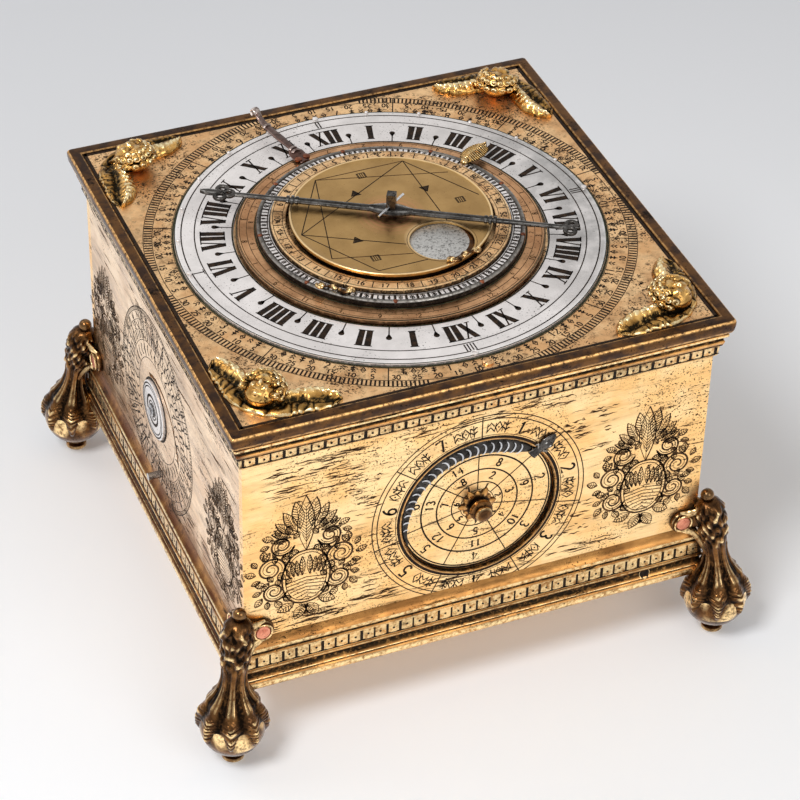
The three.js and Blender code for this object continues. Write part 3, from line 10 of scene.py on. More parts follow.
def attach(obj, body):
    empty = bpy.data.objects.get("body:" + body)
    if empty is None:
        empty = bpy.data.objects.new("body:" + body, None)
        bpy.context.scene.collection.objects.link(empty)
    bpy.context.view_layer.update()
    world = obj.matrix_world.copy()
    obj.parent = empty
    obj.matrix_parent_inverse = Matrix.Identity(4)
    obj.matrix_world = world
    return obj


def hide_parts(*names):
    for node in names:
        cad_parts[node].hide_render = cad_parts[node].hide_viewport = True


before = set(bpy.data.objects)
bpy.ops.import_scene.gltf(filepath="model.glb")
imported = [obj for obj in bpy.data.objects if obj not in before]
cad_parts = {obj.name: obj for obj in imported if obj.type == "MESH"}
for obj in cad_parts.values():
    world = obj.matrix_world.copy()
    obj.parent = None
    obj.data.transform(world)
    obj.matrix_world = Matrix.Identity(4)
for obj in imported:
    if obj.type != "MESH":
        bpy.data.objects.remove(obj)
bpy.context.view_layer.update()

MM = 0.001
TAU = 2 * math.pi

# Places on the clock, taken from the solids
BODY_X, BODY_Y = 84.8, 82.8
HALF_X, HALF_Y = 90.0, 88.0
PLATE_TOP = 137.4
CHAPTER_TOP, YEAR_TOP, SUN_TOP = 138.4, 139.9, 142.3
AGE_TOP, ASPECT_TOP = 143.8, 145.6
HAND_LOW, HAND_TOP = 146.4, 148.2
WEEKDAY_Z, WEEKDAY_FACE = 79.2, 81.2
SETTING_Y, SETTING_Z, SETTING_FACE = 8.0, 77.0, 86.0
# Which way the steel hand, its pin, the date arm, the sun pointer and the serpent's head point, in degrees
HAND_AT, PIN_AT, ARM_AT, SUN_AT, SERPENT_AT = 149.7, 36, 106, 32.5, 42
# How far a cut line lies off its face
CUT = 0.035


# Places and angles
def new_object(name, data):
    """An object put into the scene."""
    made = bpy.data.objects.new(name, data)
    bpy.context.scene.collection.objects.link(made)
    return made


def polar(radius, degrees):
    """Points at a radius and an angle: radius times cosine and sine."""
    angle = np.radians(degrees)
    return np.stack([radius * np.cos(angle), radius * np.sin(angle)], -1)


def even_turn(count):
    """Angles in even steps once round, in radians."""
    return np.linspace(0, TAU, count, endpoint=False)


def spun(x, y, degrees):
    """Flat points turned about the middle: x cos - y sin, and x sin + y cos."""
    angle = np.radians(degrees)
    return x * np.cos(angle) - y * np.sin(angle), x * np.sin(angle) + y * np.cos(angle)


# Camera: the photograph's view of the clock
def photograph_camera():
    """The view looks down at the front left corner. Back is the unit vector from the aim to the
    camera, and the picture's sideways tilt turns right and up about it."""
    azimuth, height, tilt = (math.radians(degrees) for degrees in (-23.07, 38.628, 1.531))
    aim, distance, focal, film = (0.27, -11.6, 72.0), 1.082, 136.24, 36
    right = Vector((math.cos(azimuth), math.sin(azimuth), 0))
    back = Vector((math.sin(azimuth) * math.cos(height), -math.cos(azimuth) * math.cos(height),
                   math.sin(height)))
    up = back.cross(right)
    across = math.cos(tilt) * right + math.sin(tilt) * up
    upward = -math.sin(tilt) * right + math.cos(tilt) * up
    lens = bpy.data.cameras.new("photograph")
    lens.lens, lens.sensor_width = focal, film
    lens.clip_start, lens.clip_end = 0.05, 20
    camera = new_object("photograph", lens)
    place = Matrix((across, upward, back)).transposed().to_4x4()
    place.translation = Vector(aim) * MM + distance * back
    camera.matrix_world = place
    bpy.context.scene.camera = camera


photograph_camera()


# Metals
def tone(red, green, blue):
    """A colour as it is seen, 0 to 255, turned into light: the display curve undone."""
    seen = np.array([red, green, blue]) / 255
    light = np.where(seen <= 0.04045, seen / 12.92, ((seen + 0.055) / 1.055) ** 2.4)
    return (*light.tolist(), 1.0)


class Recipe:
    """Wires one material, with the coordinates of the piece feeding every pattern."""

    def __init__(self, name):
        self.material = bpy.data.materials.new(name)
        self.material.use_nodes = True
        self.nodes = self.material.node_tree.nodes
        self.links = self.material.node_tree.links
        self.shader = self.nodes["Principled BSDF"]
        self.place = self.nodes.new("ShaderNodeTexCoord").outputs["Object"]

    def feed(self, socket, value):
        """A plain value is set on the socket, the output of another node is linked to it."""
        if isinstance(value, bpy.types.NodeSocket):
            self.links.new(value, socket)
        elif value is not None:
            socket.default_value = value

    def add(self, kind, values):
        """New node with its inputs fed, each by name or place."""
        node = self.nodes.new(kind)
        for name, value in values.items():
            self.feed(node.inputs[name], value)
        return node

    def noise(self, size, stretch=(1, 1, 1), detail=4.0, rough=0.6, bend=0.0):
        """Cloudy pattern whose patches are about size millimetres, drawn out along an axis."""
        drawn = self.add("ShaderNodeMapping", {"Scale": [1 / s for s in stretch], "Vector": self.place})
        cloud = self.add("ShaderNodeTexNoise", {"Scale": 1 / (size * MM), "Detail": detail, "Roughness": rough,
                                                "Distortion": bend, "Vector": drawn.outputs["Vector"]})
        return cloud.outputs["Fac"]

    def ramp(self, value, low, high, start=0.0, end=1.0):
        """Straight rise from start to end while the value goes from low to high."""
        node = self.add("ShaderNodeMapRange", {"From Min": low, "From Max": high, "To Min": start, "To Max": end,
                                               "Value": value})
        return node.outputs["Result"]

    def sum(self, operation, first, second=None):
        """One step of arithmetic; sums and differences stay between nothing and one."""
        node = self.add("ShaderNodeMath", {0: first, 1: second})
        node.operation = operation
        node.use_clamp = operation in ("ADD", "SUBTRACT")
        return node.outputs[0]

    def plus(self, first, second):
        return self.sum("ADD", first, second)

    def times(self, first, second):
        return self.sum("MULTIPLY", first, second)

    def blend(self, share, first, second):
        """First colour where the share is nothing, second where it is one."""
        node = self.nodes.new("ShaderNodeMix")
        node.data_type = "RGBA"
        for at, value in (("Factor", share), (6, first), (7, second)):
            self.feed(node.inputs[at], value)
        return node.outputs[2]

    def axes(self):
        """The place on the piece, split into X, Y and Z."""
        return self.add("ShaderNodeSeparateXYZ", {0: self.place}).outputs

    def rub(self):
        """Wear and painted light written on the piece: above nothing rubbed bright with painted highlights, below
        nothing filled with dirt and painted shade.
        """
        node = self.nodes.new("ShaderNodeAttribute")
        node.attribute_name = "rub"
        return node.outputs["Fac"]

    def hollow(self, reach):
        """How far a spot is shut in by its own piece, within reach millimetres."""
        node = self.add("ShaderNodeAmbientOcclusion", {"Distance": reach * MM})
        node.only_local = True
        node.samples = 6
        return node.outputs["AO"]

    def bump(self, height, strength, depth):
        """Fine relief of the surface, depth millimetres high."""
        node = self.add("ShaderNodeBump", {"Strength": strength, "Distance": depth * MM, "Height": height})
        self.links.new(node.outputs["Normal"], self.shader.inputs["Normal"])

    def surface(self, colour, rough, metal=0.0):
        """Colour, roughness and how metallic the material is; gives it back ready."""
        self.feed(self.shader.inputs["Base Color"], colour)
        self.feed(self.shader.inputs["Roughness"], rough)
        self.shader.inputs["Metallic"].default_value = metal
        return self.material


def old_metal(name, plain, other, dirt_and_painted_shade, bright, rough=(0.24, 0.42), stretch=(1, 1, 1), patch=18.0, haze=0.5,
              stain=(0.58, 0.64), streak=3.0, speck=0.7, spot=0.62, reach=0.0, relief=0.03, metal=1.0, tone_along_axis=None):
    """Old worked metal: two tones in broad patches, a brown haze, groups of drawn-out dirty streaks,
    fine dark specks, dirt and painted shade in hollows, and rubbed bright edges with painted highlights.
    Tone_along_axis tells how far another tone covers the piece along an axis, and between which two places."""
    r = Recipe(name)
    colour = r.blend(r.ramp(r.noise(patch, detail=3), 0.4, 0.6), tone(*plain), tone(*other))
    cloud = r.noise(streak * 2.6, stretch, detail=7, rough=0.7, bend=0.4)
    middle = [0.6 * a + 0.4 * b for a, b in zip(other, dirt_and_painted_shade)]
    colour = r.blend(r.ramp(cloud, 0.46, 0.68, 0, haze), colour, tone(*middle))
    if tone_along_axis:
        axis, start, end, share, grown = tone_along_axis
        share_along_axis = r.ramp(r.axes()[axis], start * MM, end * MM, 0, share)
        cover = r.times(share_along_axis, r.ramp(r.noise(9, detail=6), 0.36, 0.56, 0.35, 1.0))
        colour = r.blend(cover, colour, tone(*grown))
    near = r.ramp(r.noise(patch * 1.3, detail=2), 0.43, 0.58)
    streaks = r.ramp(r.noise(streak, stretch, detail=9, rough=0.76), *stain)
    streaks = r.times(streaks, r.ramp(near, 0, 1, 0.3, 1.0))
    specks = r.ramp(r.noise(speck, detail=2, rough=0.5), spot, spot + 0.06)
    soil = r.plus(streaks, r.times(specks, near))
    rub = r.rub()
    broken = r.noise(1.6, detail=5, rough=0.7)
    # Hollows darken with the dirt tone: dirt and painted shade, from negative wear values and, below, from how shut
    # in a spot is.
    soil = r.plus(soil, r.times(r.ramp(rub, -0.1, -1.0), r.ramp(broken, 0.25, 0.5)))
    if reach:
        soil = r.plus(soil, r.ramp(r.hollow(reach), 0.66, 0.24))
    colour = r.blend(soil, colour, tone(*dirt_and_painted_shade))
    # Positive wear values turn edges bright: rubbed gilding and painted highlights.
    worn_and_painted_light = r.times(r.ramp(rub, 0.15, 0.85), r.ramp(broken, 0.36, 0.56))
    colour = r.blend(worn_and_painted_light, colour, tone(*bright))
    fine = r.noise(3.0, stretch, detail=6, rough=0.7)
    grain = r.noise(0.9, stretch, detail=5, rough=0.7)
    r.bump(r.sum("SUBTRACT", grain, r.times(soil, 0.5)), 0.4, relief)
    return r.surface(colour, r.plus(r.ramp(fine, 0.3, 0.7, *rough), r.times(soil, 0.3)), metal)


def filling(name, plain, other):
    """Dark wax or pigment rubbed into a cut line, thinner in places, and the same dark matt paint laid as painted
    shade in gaps and recesses. It hardly mirrors.
    """
    r = Recipe(name)
    share = r.ramp(r.noise(2.2, detail=4, rough=0.7), 0.42, 0.66)
    r.shader.inputs["Specular IOR Level"].default_value = 0.12
    return r.surface(r.blend(share, tone(*plain), tone(*other)), r.ramp(r.noise(0.6, detail=3), 0.3, 0.7, 0.5, 0.75))


# Four tones of each metal (plain, other, dirt and painted shade, rubbed bright and painted highlight), then what
# differs from the usual
LOOKS = {
    "gilt": ([(255, 218, 160), (250, 200, 132), (62, 40, 22), (255, 230, 176)],
        dict(rough=(0.22, 0.4), stretch=(8, 8, 1), haze=0.35, stain=(0.57, 0.61), streak=1.5, spot=0.59)),
    "pale_gilt": ([(246, 218, 184), (224, 192, 158), (68, 56, 48), (250, 236, 214)],
        dict(stretch=(1, 6, 1), haze=0.8, stain=(0.56, 0.61), streak=2.4,
             # Darker brown towards the bottom of the left panel.
             tone_along_axis=("Z", 66, 47, 0.85, (150, 104, 58)))),
    "dial_gilt": ([(255, 212, 158), (232, 182, 128), (40, 30, 23), (250, 220, 172)],
        dict(rough=(0.28, 0.46), patch=12.0, haze=0.6, stain=(0.55, 0.59), streak=2.6, spot=0.57)),
    "dark_bronze": ([(112, 76, 42), (66, 47, 36), (26, 19, 15), (240, 186, 118)],
        dict(rough=(0.26, 0.46), patch=7.0, stretch=(4, 4, 1), haze=0.6, stain=(0.56, 0.64),
             streak=2.2)),
    "moulding_gilt": ([(210, 152, 86), (152, 104, 56), (34, 27, 18), (255, 226, 168)],
        dict(rough=(0.2, 0.36), stretch=(7, 7, 1), haze=0.75, stain=(0.55, 0.62), streak=1.4,
             # Darker brown on the left side of the mouldings.
             tone_along_axis=("X", -82, -86, 1.0, (104, 62, 36)))),
    "foot_bronze": ([(128, 88, 50), (84, 56, 34), (18, 12, 8), (255, 220, 160)],
        dict(rough=(0.1, 0.26), patch=5.0, haze=0.7, stain=(0.56, 0.64), streak=1.8, reach=2.6)),
    "cast_gilt": ([(244, 192, 112), (196, 144, 74), (32, 26, 16), (255, 238, 190)],
        dict(rough=(0.1, 0.26), patch=5.0, haze=0.9, stain=(0.54, 0.6), streak=2.0, reach=2.2)),
    "silvered": ([(238, 232, 229), (222, 216, 213), (96, 93, 90), (248, 246, 244)],
        dict(rough=(0.3, 0.5), haze=0.3, stain=(0.62, 0.74), streak=3.0, spot=0.63, metal=0.45)),
    "ring_silver": ([(240, 234, 231), (226, 220, 217), (96, 93, 90), (248, 246, 244)],
        dict(rough=(0.3, 0.5), haze=0.25, stain=(0.62, 0.74), streak=3.0, spot=0.64, metal=0.4,
             # Grey patches towards the right of the hour ring.
             tone_along_axis=("X", 34, 72, 0.7, (128, 128, 126)))),
    "dark_silver": ([(104, 98, 92), (74, 70, 66), (26, 22, 20), (206, 200, 192)],
        dict(stain=(0.58, 0.7), streak=2.0)),
    "copper_red": ([(226, 152, 122), (204, 124, 98), (104, 60, 46), (246, 186, 160)],
        dict(rough=(0.35, 0.5), patch=3.0, streak=1.4)),
    "brown_copper": ([(150, 92, 66), (118, 72, 54), (48, 30, 24), (226, 166, 132)],
        dict(rough=(0.3, 0.45), patch=3.0, streak=1.4)),
    "copper_gilt": ([(222, 172, 126), (186, 136, 94), (70, 48, 32), (244, 204, 162)],
        dict(haze=0.6, stain=(0.58, 0.68), streak=2.8)),
    "black_steel": ([(96, 92, 88), (58, 55, 52), (20, 18, 16), (214, 212, 208)],
        dict(rough=(0.2, 0.4), patch=5.0, stain=(0.54, 0.62), streak=1.2, relief=0.06)),
    "bright_steel": ([(206, 206, 208), (178, 178, 180), (90, 84, 80), (240, 240, 240)],
        dict(rough=(0.16, 0.3), patch=7.0, streak=2.0)),
    "brown_steel": ([(104, 78, 70), (74, 55, 50), (30, 22, 19), (214, 200, 192)],
        dict(rough=(0.24, 0.42), patch=6.0, streak=2.0)),
    "movement_brass": ([(206, 168, 92), (186, 146, 76), (90, 66, 30), (236, 206, 140)],
        dict(stain=(0.66, 0.8))),
}
finishes = {name: old_metal(name, *tones, **rest) for name, (tones, rest) in LOOKS.items()}
# The dark cut-line filling also paints shade in gaps, recesses and the hole.
ink_and_painted_shade = filling("cut_line_and_painted_shade", (22, 16, 12), (56, 40, 26))
pale_ink = filling("thin_cut_line", (60, 42, 26), (112, 82, 50))
brown_ink = filling("ornament_line", (44, 29, 17), (118, 84, 50))
green_dirt_and_gap_shade = filling("green_dirt_and_gap_shade", (34, 38, 30), (74, 72, 50))
stain_dirt = filling("dark_smear", (58, 38, 22), (112, 78, 44))


# Pieces
def cells(rows, columns, round_rows=False, round_columns=False):
    """Four-cornered faces between neighbouring rows and columns of a grid of points."""
    i = np.arange(rows if round_rows else rows - 1)[:, None]
    j = np.arange(columns if round_columns else columns - 1)[None, :]
    after_i, after_j = (i + 1) % rows, (j + 1) % columns
    corners = [i * columns + j, i * columns + after_j, after_i * columns + after_j, after_i * columns + j]
    return np.stack(np.broadcast_arrays(*corners), -1).reshape(-1, 4)


class Form:
    """Gathers skins of one piece, each a grid of points with its wear and painted light."""

    def __init__(self):
        self.points, self.faces, self.wear, self.count = [], [], [], 0

    def skin(self, grid, rub=0.0, round_rows=False, round_columns=True):
        """Adds a grid, closed on itself along its rows, its columns or both."""
        rows, columns = grid.shape[:2]
        self.points.append(grid.reshape(-1, 3))
        self.wear.append(np.broadcast_to(rub, (rows, columns)).reshape(-1))
        self.faces += (cells(rows, columns, round_rows, round_columns) + self.count).tolist()
        self.count += rows * columns
        return self

    def tube(self, grid, rub=0.0):
        """Adds a grid whose first and last rows are drawn together to their middles."""
        rub = np.broadcast_to(rub, grid.shape[:2])
        caps = np.broadcast_to(grid.mean(1, keepdims=True), grid.shape)
        return self.skin(np.concatenate([caps[:1], grid, caps[-1:]]), np.concatenate([rub[:1], rub, rub[-1:]]))

    def moved(self, change):
        """The same skins with every point passed through a change of place."""
        copy = Form()
        copy.points = [change(points) for points in self.points]
        copy.faces, copy.wear, copy.count = list(self.faces), list(self.wear), self.count
        return copy

    def join(self, other):
        """Takes over the skins of another form."""
        self.faces += [[corner + self.count for corner in face] for face in other.faces]
        self.points += other.points
        self.wear += other.wear
        self.count += other.count
        return self


def piece(name, form, finish, body="case", stands_for=(), crease=38, closed=True):
    """Makes the mesh: doubled points merged, faces turned outwards, soft but for sharp creases."""
    mesh = bpy.data.meshes.new(name)
    mesh.from_pydata((np.concatenate(form.points) * MM).tolist(), [], form.faces)
    wear = mesh.attributes.new("rub", "FLOAT", "POINT")
    wear.data.foreach_set("value", np.concatenate(form.wear).astype(np.float32))
    if closed:
        shell = bmesh.new()
        shell.from_mesh(mesh)
        bmesh.ops.remove_doubles(shell, verts=shell.verts, dist=1e-6)
        bmesh.ops.dissolve_degenerate(shell, edges=shell.edges, dist=1e-7)
        bmesh.ops.recalc_face_normals(shell, faces=shell.faces)
        shell.to_mesh(mesh)
        shell.free()
        mesh.shade_smooth()
        mesh.set_sharp_from_angle(angle=math.radians(crease))
    made = new_object(name, mesh)
    mesh.materials.append(finishes[finish] if isinstance(finish, str) else finish)
    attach(made, body)
    if stands_for:
        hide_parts(*stands_for)
    return made


def lathe(profile, steps=160, centre=(0, 0), rub=0.0):
    """Surface of revolution: each point of the profile, radius and height, carried once round."""
    profile = np.asarray(profile, float)
    angle = even_turn(steps)[:, None]
    grid = np.stack([centre[0] + profile[:, 0] * np.cos(angle), centre[1] + profile[:, 0] * np.sin(angle),
                     np.broadcast_to(profile[:, 1], (steps, len(profile)))], -1)
    return Form().skin(grid, rub, True, False)


def heading(path):
    """Unit steps along a path: the change from point to point over its own length."""
    ahead = np.gradient(path, axis=0)
    return ahead / (np.linalg.norm(ahead, axis=1, keepdims=True) + 1e-9)


def along(path, widths, sides=14, flat=1.0, lift=(0, 0, 1)):
    """Round bar: at each point of the path a ring of the given half width, its second half width
    flattened along the lift direction. Rings stand square to the path."""
    path = np.asarray(path, float)
    ahead = heading(path)
    side = np.cross(ahead, np.asarray(lift, float))
    side /= np.linalg.norm(side, axis=1, keepdims=True) + 1e-9
    above = np.cross(side, ahead)
    angle = even_turn(sides)
    widths = np.asarray(widths, float)
    widths = np.broadcast_to(widths[:, None] if widths.ndim == 1 else widths, (len(path), sides))
    flat = np.broadcast_to(np.asarray(flat, float), (len(path),))[:, None, None]
    across = side[:, None] * np.cos(angle)[None, :, None] + above[:, None] * np.sin(angle)[None, :, None] * flat
    return path[:, None] + across * widths[..., None]


def directions(rise, angle):
    """Unit vectors by their rise above the level and their angle round it, both in radians."""
    return np.stack(np.broadcast_arrays(np.cos(rise) * np.cos(angle), np.cos(rise) * np.sin(angle), np.sin(rise)), -1)


def round_ball(rows, columns):
    """Rise and angle of the rows and columns of a ball, in radians."""
    return np.linspace(-math.pi / 2, math.pi / 2, rows)[:, None], even_turn(columns)[None, :]


def blob(centre, radii, steps=12):
    """Rounded lump: a sphere with a radius of its own along each axis."""
    return np.asarray(centre, float) + directions(*round_ball(steps, steps * 2)) * np.asarray(radii, float)


def with_underside(top, level):
    """A relief closed below: its rows run on backwards at one level."""
    under = top[:, ::-1].copy()
    under[..., 2] = level
    return np.concatenate([top, under], 1)


def smooth(points, count):
    """Even curve through hand-set points, by cubic blends between neighbours (Catmull-Rom)."""
    points = np.asarray(points, float)
    padded = np.concatenate([2 * points[:1] - points[1:2], points, 2 * points[-1:] - points[-2:-1]])
    at = np.linspace(0, len(points) - 1, count)
    i = np.minimum(at.astype(int), len(points) - 2)
    t = (at - i)[:, None]
    a, b, c, d = (padded[i + k] for k in range(4))
    return 0.5 * (2 * b + (c - a) * t + (2 * a - 5 * b + 4 * c - d) * t ** 2 + (3 * b - a - 3 * c + d) * t ** 3)


# Cut lines
def stroke_arc(x, y, across, up, start, end, count=9):
    """Part of an oval about a point, from one angle to another."""
    angle = np.radians(np.linspace(start, end, count))
    return np.stack([x + across * np.cos(angle), y + up * np.sin(angle)], -1)


DIGITS = {
    "0": [stroke_arc(0, 0.5, 0.26, 0.5, 0, 360, 15)],
    "1": [np.array([[-0.16, 0.78], [0, 1], [0, 0]])],
    "2": [np.concatenate([stroke_arc(0, 0.74, 0.24, 0.26, 165, -35, 8), [[-0.26, 0], [0.28, 0.02]]])],
    "3": [np.concatenate([stroke_arc(0, 0.75, 0.21, 0.25, 150, -85, 7),
                          stroke_arc(0, 0.26, 0.26, 0.26, 85, -150, 8)])],
    "4": [np.array([[0.12, 0], [0.12, 1], [-0.27, 0.3], [0.27, 0.3]])],
    "5": [np.concatenate([[[0.24, 1], [-0.16, 1], [-0.18, 0.58]], stroke_arc(0, 0.31, 0.25, 0.31, 120, -150, 8)])],
    "6": [stroke_arc(0, 0.29, 0.24, 0.29, 0, 360, 12), stroke_arc(0.2, 0.3, 0.44, 0.7, 180, 98, 6)],
    "7": [np.array([[-0.25, 0.9], [-0.22, 1], [0.25, 1], [-0.06, 0]])],
    "8": [stroke_arc(0, 0.75, 0.2, 0.25, 0, 360, 12), stroke_arc(0, 0.25, 0.26, 0.25, 0, 360, 12)],
    "9": [stroke_arc(0, 0.71, 0.24, 0.29, 0, 360, 12), stroke_arc(-0.2, 0.7, 0.44, 0.7, 0, -82, 6)],
}


class Cuts:
    """Strokes cut into one face of the clock, drawn flat in that face's own millimetres."""

    def __init__(self):
        self.points, self.faces, self.count = [], [], 0

    def add(self, points, faces):
        """Flat points with the faces between them, counted from the first of these points."""
        self.faces += (np.asarray(faces) + self.count).tolist()
        self.points.append(points)
        self.count += len(points)

    def shape(self, corners):
        """One filled outline."""
        self.add(np.asarray(corners, float), [range(len(corners))])

    def line(self, path, width=0.25):
        """Strip: each point of the path moved half the width to both sides, square to the path."""
        path = np.asarray(path, float)
        ahead = heading(path)
        aside = np.stack([-ahead[:, 1], ahead[:, 0]], -1) * np.broadcast_to(width, len(path))[:, None] / 2
        i = np.arange(len(path) - 1) * 2
        self.add(np.stack([path + aside, path - aside], 1).reshape(-1, 2),
                 np.stack([i, i + 1, i + 3, i + 2], -1))

    def rings(self, sizes, centre=(0, 0)):
        """Full rings, each a radius and the width of its line; larger ones in more steps."""
        for radius, width in sizes:
            steps = int(4 * max(radius, 6))
            self.line(polar(radius, np.linspace(0, 360, steps)) + np.asarray(centre), width)

    def rays(self, degrees, inner, outer, width=0.2, centre=(0, 0)):
        """Short straight cuts that point away from a centre, one at each angle."""
        out, aside = np.array([inner, inner, outer, outer]), np.array([width, -width, -width, width]) / 2
        corners = np.stack(spun(out, aside, np.asarray(degrees, float)[:, None]), -1) + np.asarray(centre)
        self.add(corners.reshape(-1, 2), np.arange(4 * len(corners)).reshape(-1, 4))

    def dot(self, at, radius, sides=9):
        """Filled many-sided spot."""
        self.shape(polar(radius, np.arange(sides) * 360 / sides) + np.asarray(at))

    def number(self, text, at, turn=0.0, height=2.0, width=0.26):
        """Digits in a row, set about a point and turned."""
        for k, digit in enumerate(str(text)):
            shift = (k - (len(str(text)) - 1) / 2) * 0.72
            for path in DIGITS[digit]:
                flat = spun((path[:, 0] + shift) * height, (path[:, 1] - 0.5) * height, turn)
                self.line(np.stack(flat, -1) + np.asarray(at), width)

    def join(self, other, change, flip=False):
        """Takes over another drawing, moved; a mirrored one has its faces turned back."""
        way = -1 if flip else 1
        self.faces += [[corner + self.count for corner in face[::way]] for face in other.faces]
        self.points += [change(points) for points in other.points]
        self.count += other.count

    def lay(self, name, place, finish=ink_and_painted_shade, body="case", slot="dark_bronze"):
        """Sets the drawing on its face, a hair above it."""
        form = Form()
        form.points = [place(points) for points in self.points]
        form.wear = [np.zeros(len(points)) for points in self.points]
        form.faces = self.faces
        return piece(name, form, finish, body, closed=False)


def on_top(height, stand=lambda points: points):
    """Lays a drawing a hair above a level face; stand then puts a face that isn't level in its place."""
    return lambda p: stand(np.column_stack([p, np.full(len(p), height + CUT)]))


# Quarter turns from the front, and how far each wall is from the middle
WALLS = {"front": (0, BODY_Y), "back": (180, BODY_Y), "left": (270, BODY_X), "right": (90, BODY_X)}


def on_wall(side, lift=lambda p: np.full(len(p), CUT)):
    """Stands a drawing against a wall, right way round for whoever looks at it, and lifts it off."""
    turn, depth = WALLS[side]
    return lambda p: np.column_stack([*spun(p[:, 0], -depth - lift(p), turn), p[:, 1]])


def on_weekday_dial(p):
    """A dial laid level, stood upright before the front."""
    return np.column_stack([p[:, 0], -p[:, 2], WEEKDAY_Z + p[:, 1]])


def on_setting_dial(p):
    """A dial laid level, stood upright before the left side."""
    return np.column_stack([-p[:, 2], SETTING_Y - p[:, 0], SETTING_Z + p[:, 1]])


# Mouldings of the case
# Face of the lower moulding: height, and how far it stands out from the wall
FOOT_RUN = [(45.0, 0), (44.2, 0.25), (42.7, 0.9), (41.6, 1.75), (41.2, 2.25), (40.3, 2.3), (40.0, 1.9),
            (39.2, 1.85), (38.7, 2.35), (38.3, 2.42), (33.4, 2.42), (33.0, 2.5), (32.7, 2.95), (32.2, 2.9),
            (31.6, 2.3), (30.6, 2.1), (29.5, 2.35), (28.9, 2.85), (28.6, 3.1), (28.2, 3.0), (27.8, 3.5),
            (27.0, 3.85), (26.1, 3.9), (25.1, 3.7), (24.6, 3.3)]


def square_run(profile, rub, steps=44, corner=1.2):
    """Profile carried round the case: each point, set in from the outer edge, runs along four
    straight sides with a small turn at every corner."""
    inset, height = np.asarray(profile, float).T
    share = np.linspace(0, 1, steps)[:, None]
    turn = np.radians(np.linspace(0, 90, 5))[1:, None]
    radius = np.maximum(corner - inset * 0.25, 0.05)
    rounds = []
    for quarter in range(4):
        long, wide = (HALF_X, HALF_Y) if quarter % 2 == 0 else (HALF_Y, HALF_X)
        x = np.concatenate([long - inset + 0 * share, long - inset - radius + radius * np.cos(turn)])
        y = np.concatenate([(2 * share - 1) * (wide - inset - radius),
                            wide - inset - radius + radius * np.sin(turn)])
        rounds.append(np.stack([*spun(x, y, 90 * quarter), height + 0 * x], -1))
    return Form().skin(np.concatenate(rounds), rub, True)


def case_mouldings():
    """Dark frame, moulding under it and moulding round the foot, each a profile (inset, height)
    carried round the case, and the small hole in the front of the lowest one, a flat disc of painted shade in a rim."""
    top = [(4.6, 132.8), (0.72, 132.8), (0.5, 133.3), (0.3, 134.0), (0.05, 135.6), (0, 137.0), (0.2, 137.5),
           (0.45, 137.8), (0.75, 137.95), (1.1, 138.0), (3.8, 138.0), (4.3, 137.95), (4.6, 137.6)]
    # Bright values paint highlights along the frame's edges, with wear.
    top_wear_and_painted_light = [0, 0.6, 0.7, 0.1, 0.1, 0.2, 0.9, 1, 0.1, 0.14, 0.14, 0.6, 0.2]
    piece("frame_of_the_dial", square_run(top, top_wear_and_painted_light), "dark_bronze", stands_for=("top_frame",))
    profile = [(8.2, 120.7), (5.2, 120.7), (5.0, 121.1), (4.15, 121.5), (4.05, 121.9), (3.62, 125.6), (3.4, 125.9),
               (2.95, 126.2), (2.8, 126.9), (2.55, 127.3), (2.45, 127.9), (2.9, 128.5), (2.95, 129.2), (2.6, 130.0),
               (1.75, 130.3), (1.45, 130.7), (1.5, 131.2), (1.8, 131.5), (1.9, 131.9), (1.3, 132.4), (0.95, 132.8),
               (4.7, 132.8), (4.7, 135.8), (8.2, 135.8)]
    # Negative values in the hollows: dirt and painted shade; positive ones on the beads: wear and painted highlights.
    rub = [0, -0.7, -0.9, 0.2, 0.7, 0.7, 0.8, -1, -0.9, 0.3, 0.3, -1, -1, -1, -0.6, 0.9, 0.8, -0.9, -1, -1, -0.5,
           0, 0, 0]
    piece("moulding_under_the_frame", square_run(profile, rub), "moulding_gilt", stands_for=("cornice",))
    high, out = np.array(FOOT_RUN).T
    profile = [(8.2, 45.0)] + [(5.2 - o, z) for z, o in FOOT_RUN] + [(8.2, 24.6)]
    # Negative values in the hollows: dirt and painted shade; positive ones on the beads: wear and painted highlights.
    rub = [0, -0.4, -0.2, 0.1, -0.2, 0.8, 0.5, -1, -1, 0.3, 0.6, 0.6, -0.4, 0.8, -0.2, -1, -1, -0.9, -0.3, 0.9, -1,
           0.1, 0.7, 0.9, 0.4, 0, 0]
    piece("moulding_round_the_foot", square_run(profile, rub), "moulding_gilt", stands_for=("base_moulding",))
    reach = np.array([0, 1.0, 1.8, 1.9, 2.05])[:, None]
    angle = even_turn(32)[None, :]
    hole_x, hole_z = 65, 30.1
    x, z = hole_x + reach * np.cos(angle), hole_z + reach * np.sin(angle)
    y = -BODY_Y - np.interp(-z, -high, out) - 0.06
    hole = np.stack([x, y, z], -1)
    # The hole's dark inside is painted shade on a flat disc.
    piece("painted_shade_of_the_hole", Form().skin(hole[:4]), ink_and_painted_shade, closed=False)
    piece("edge_of_the_hole", Form().skin(hole[3:], 0.7), "moulding_gilt", closed=False)


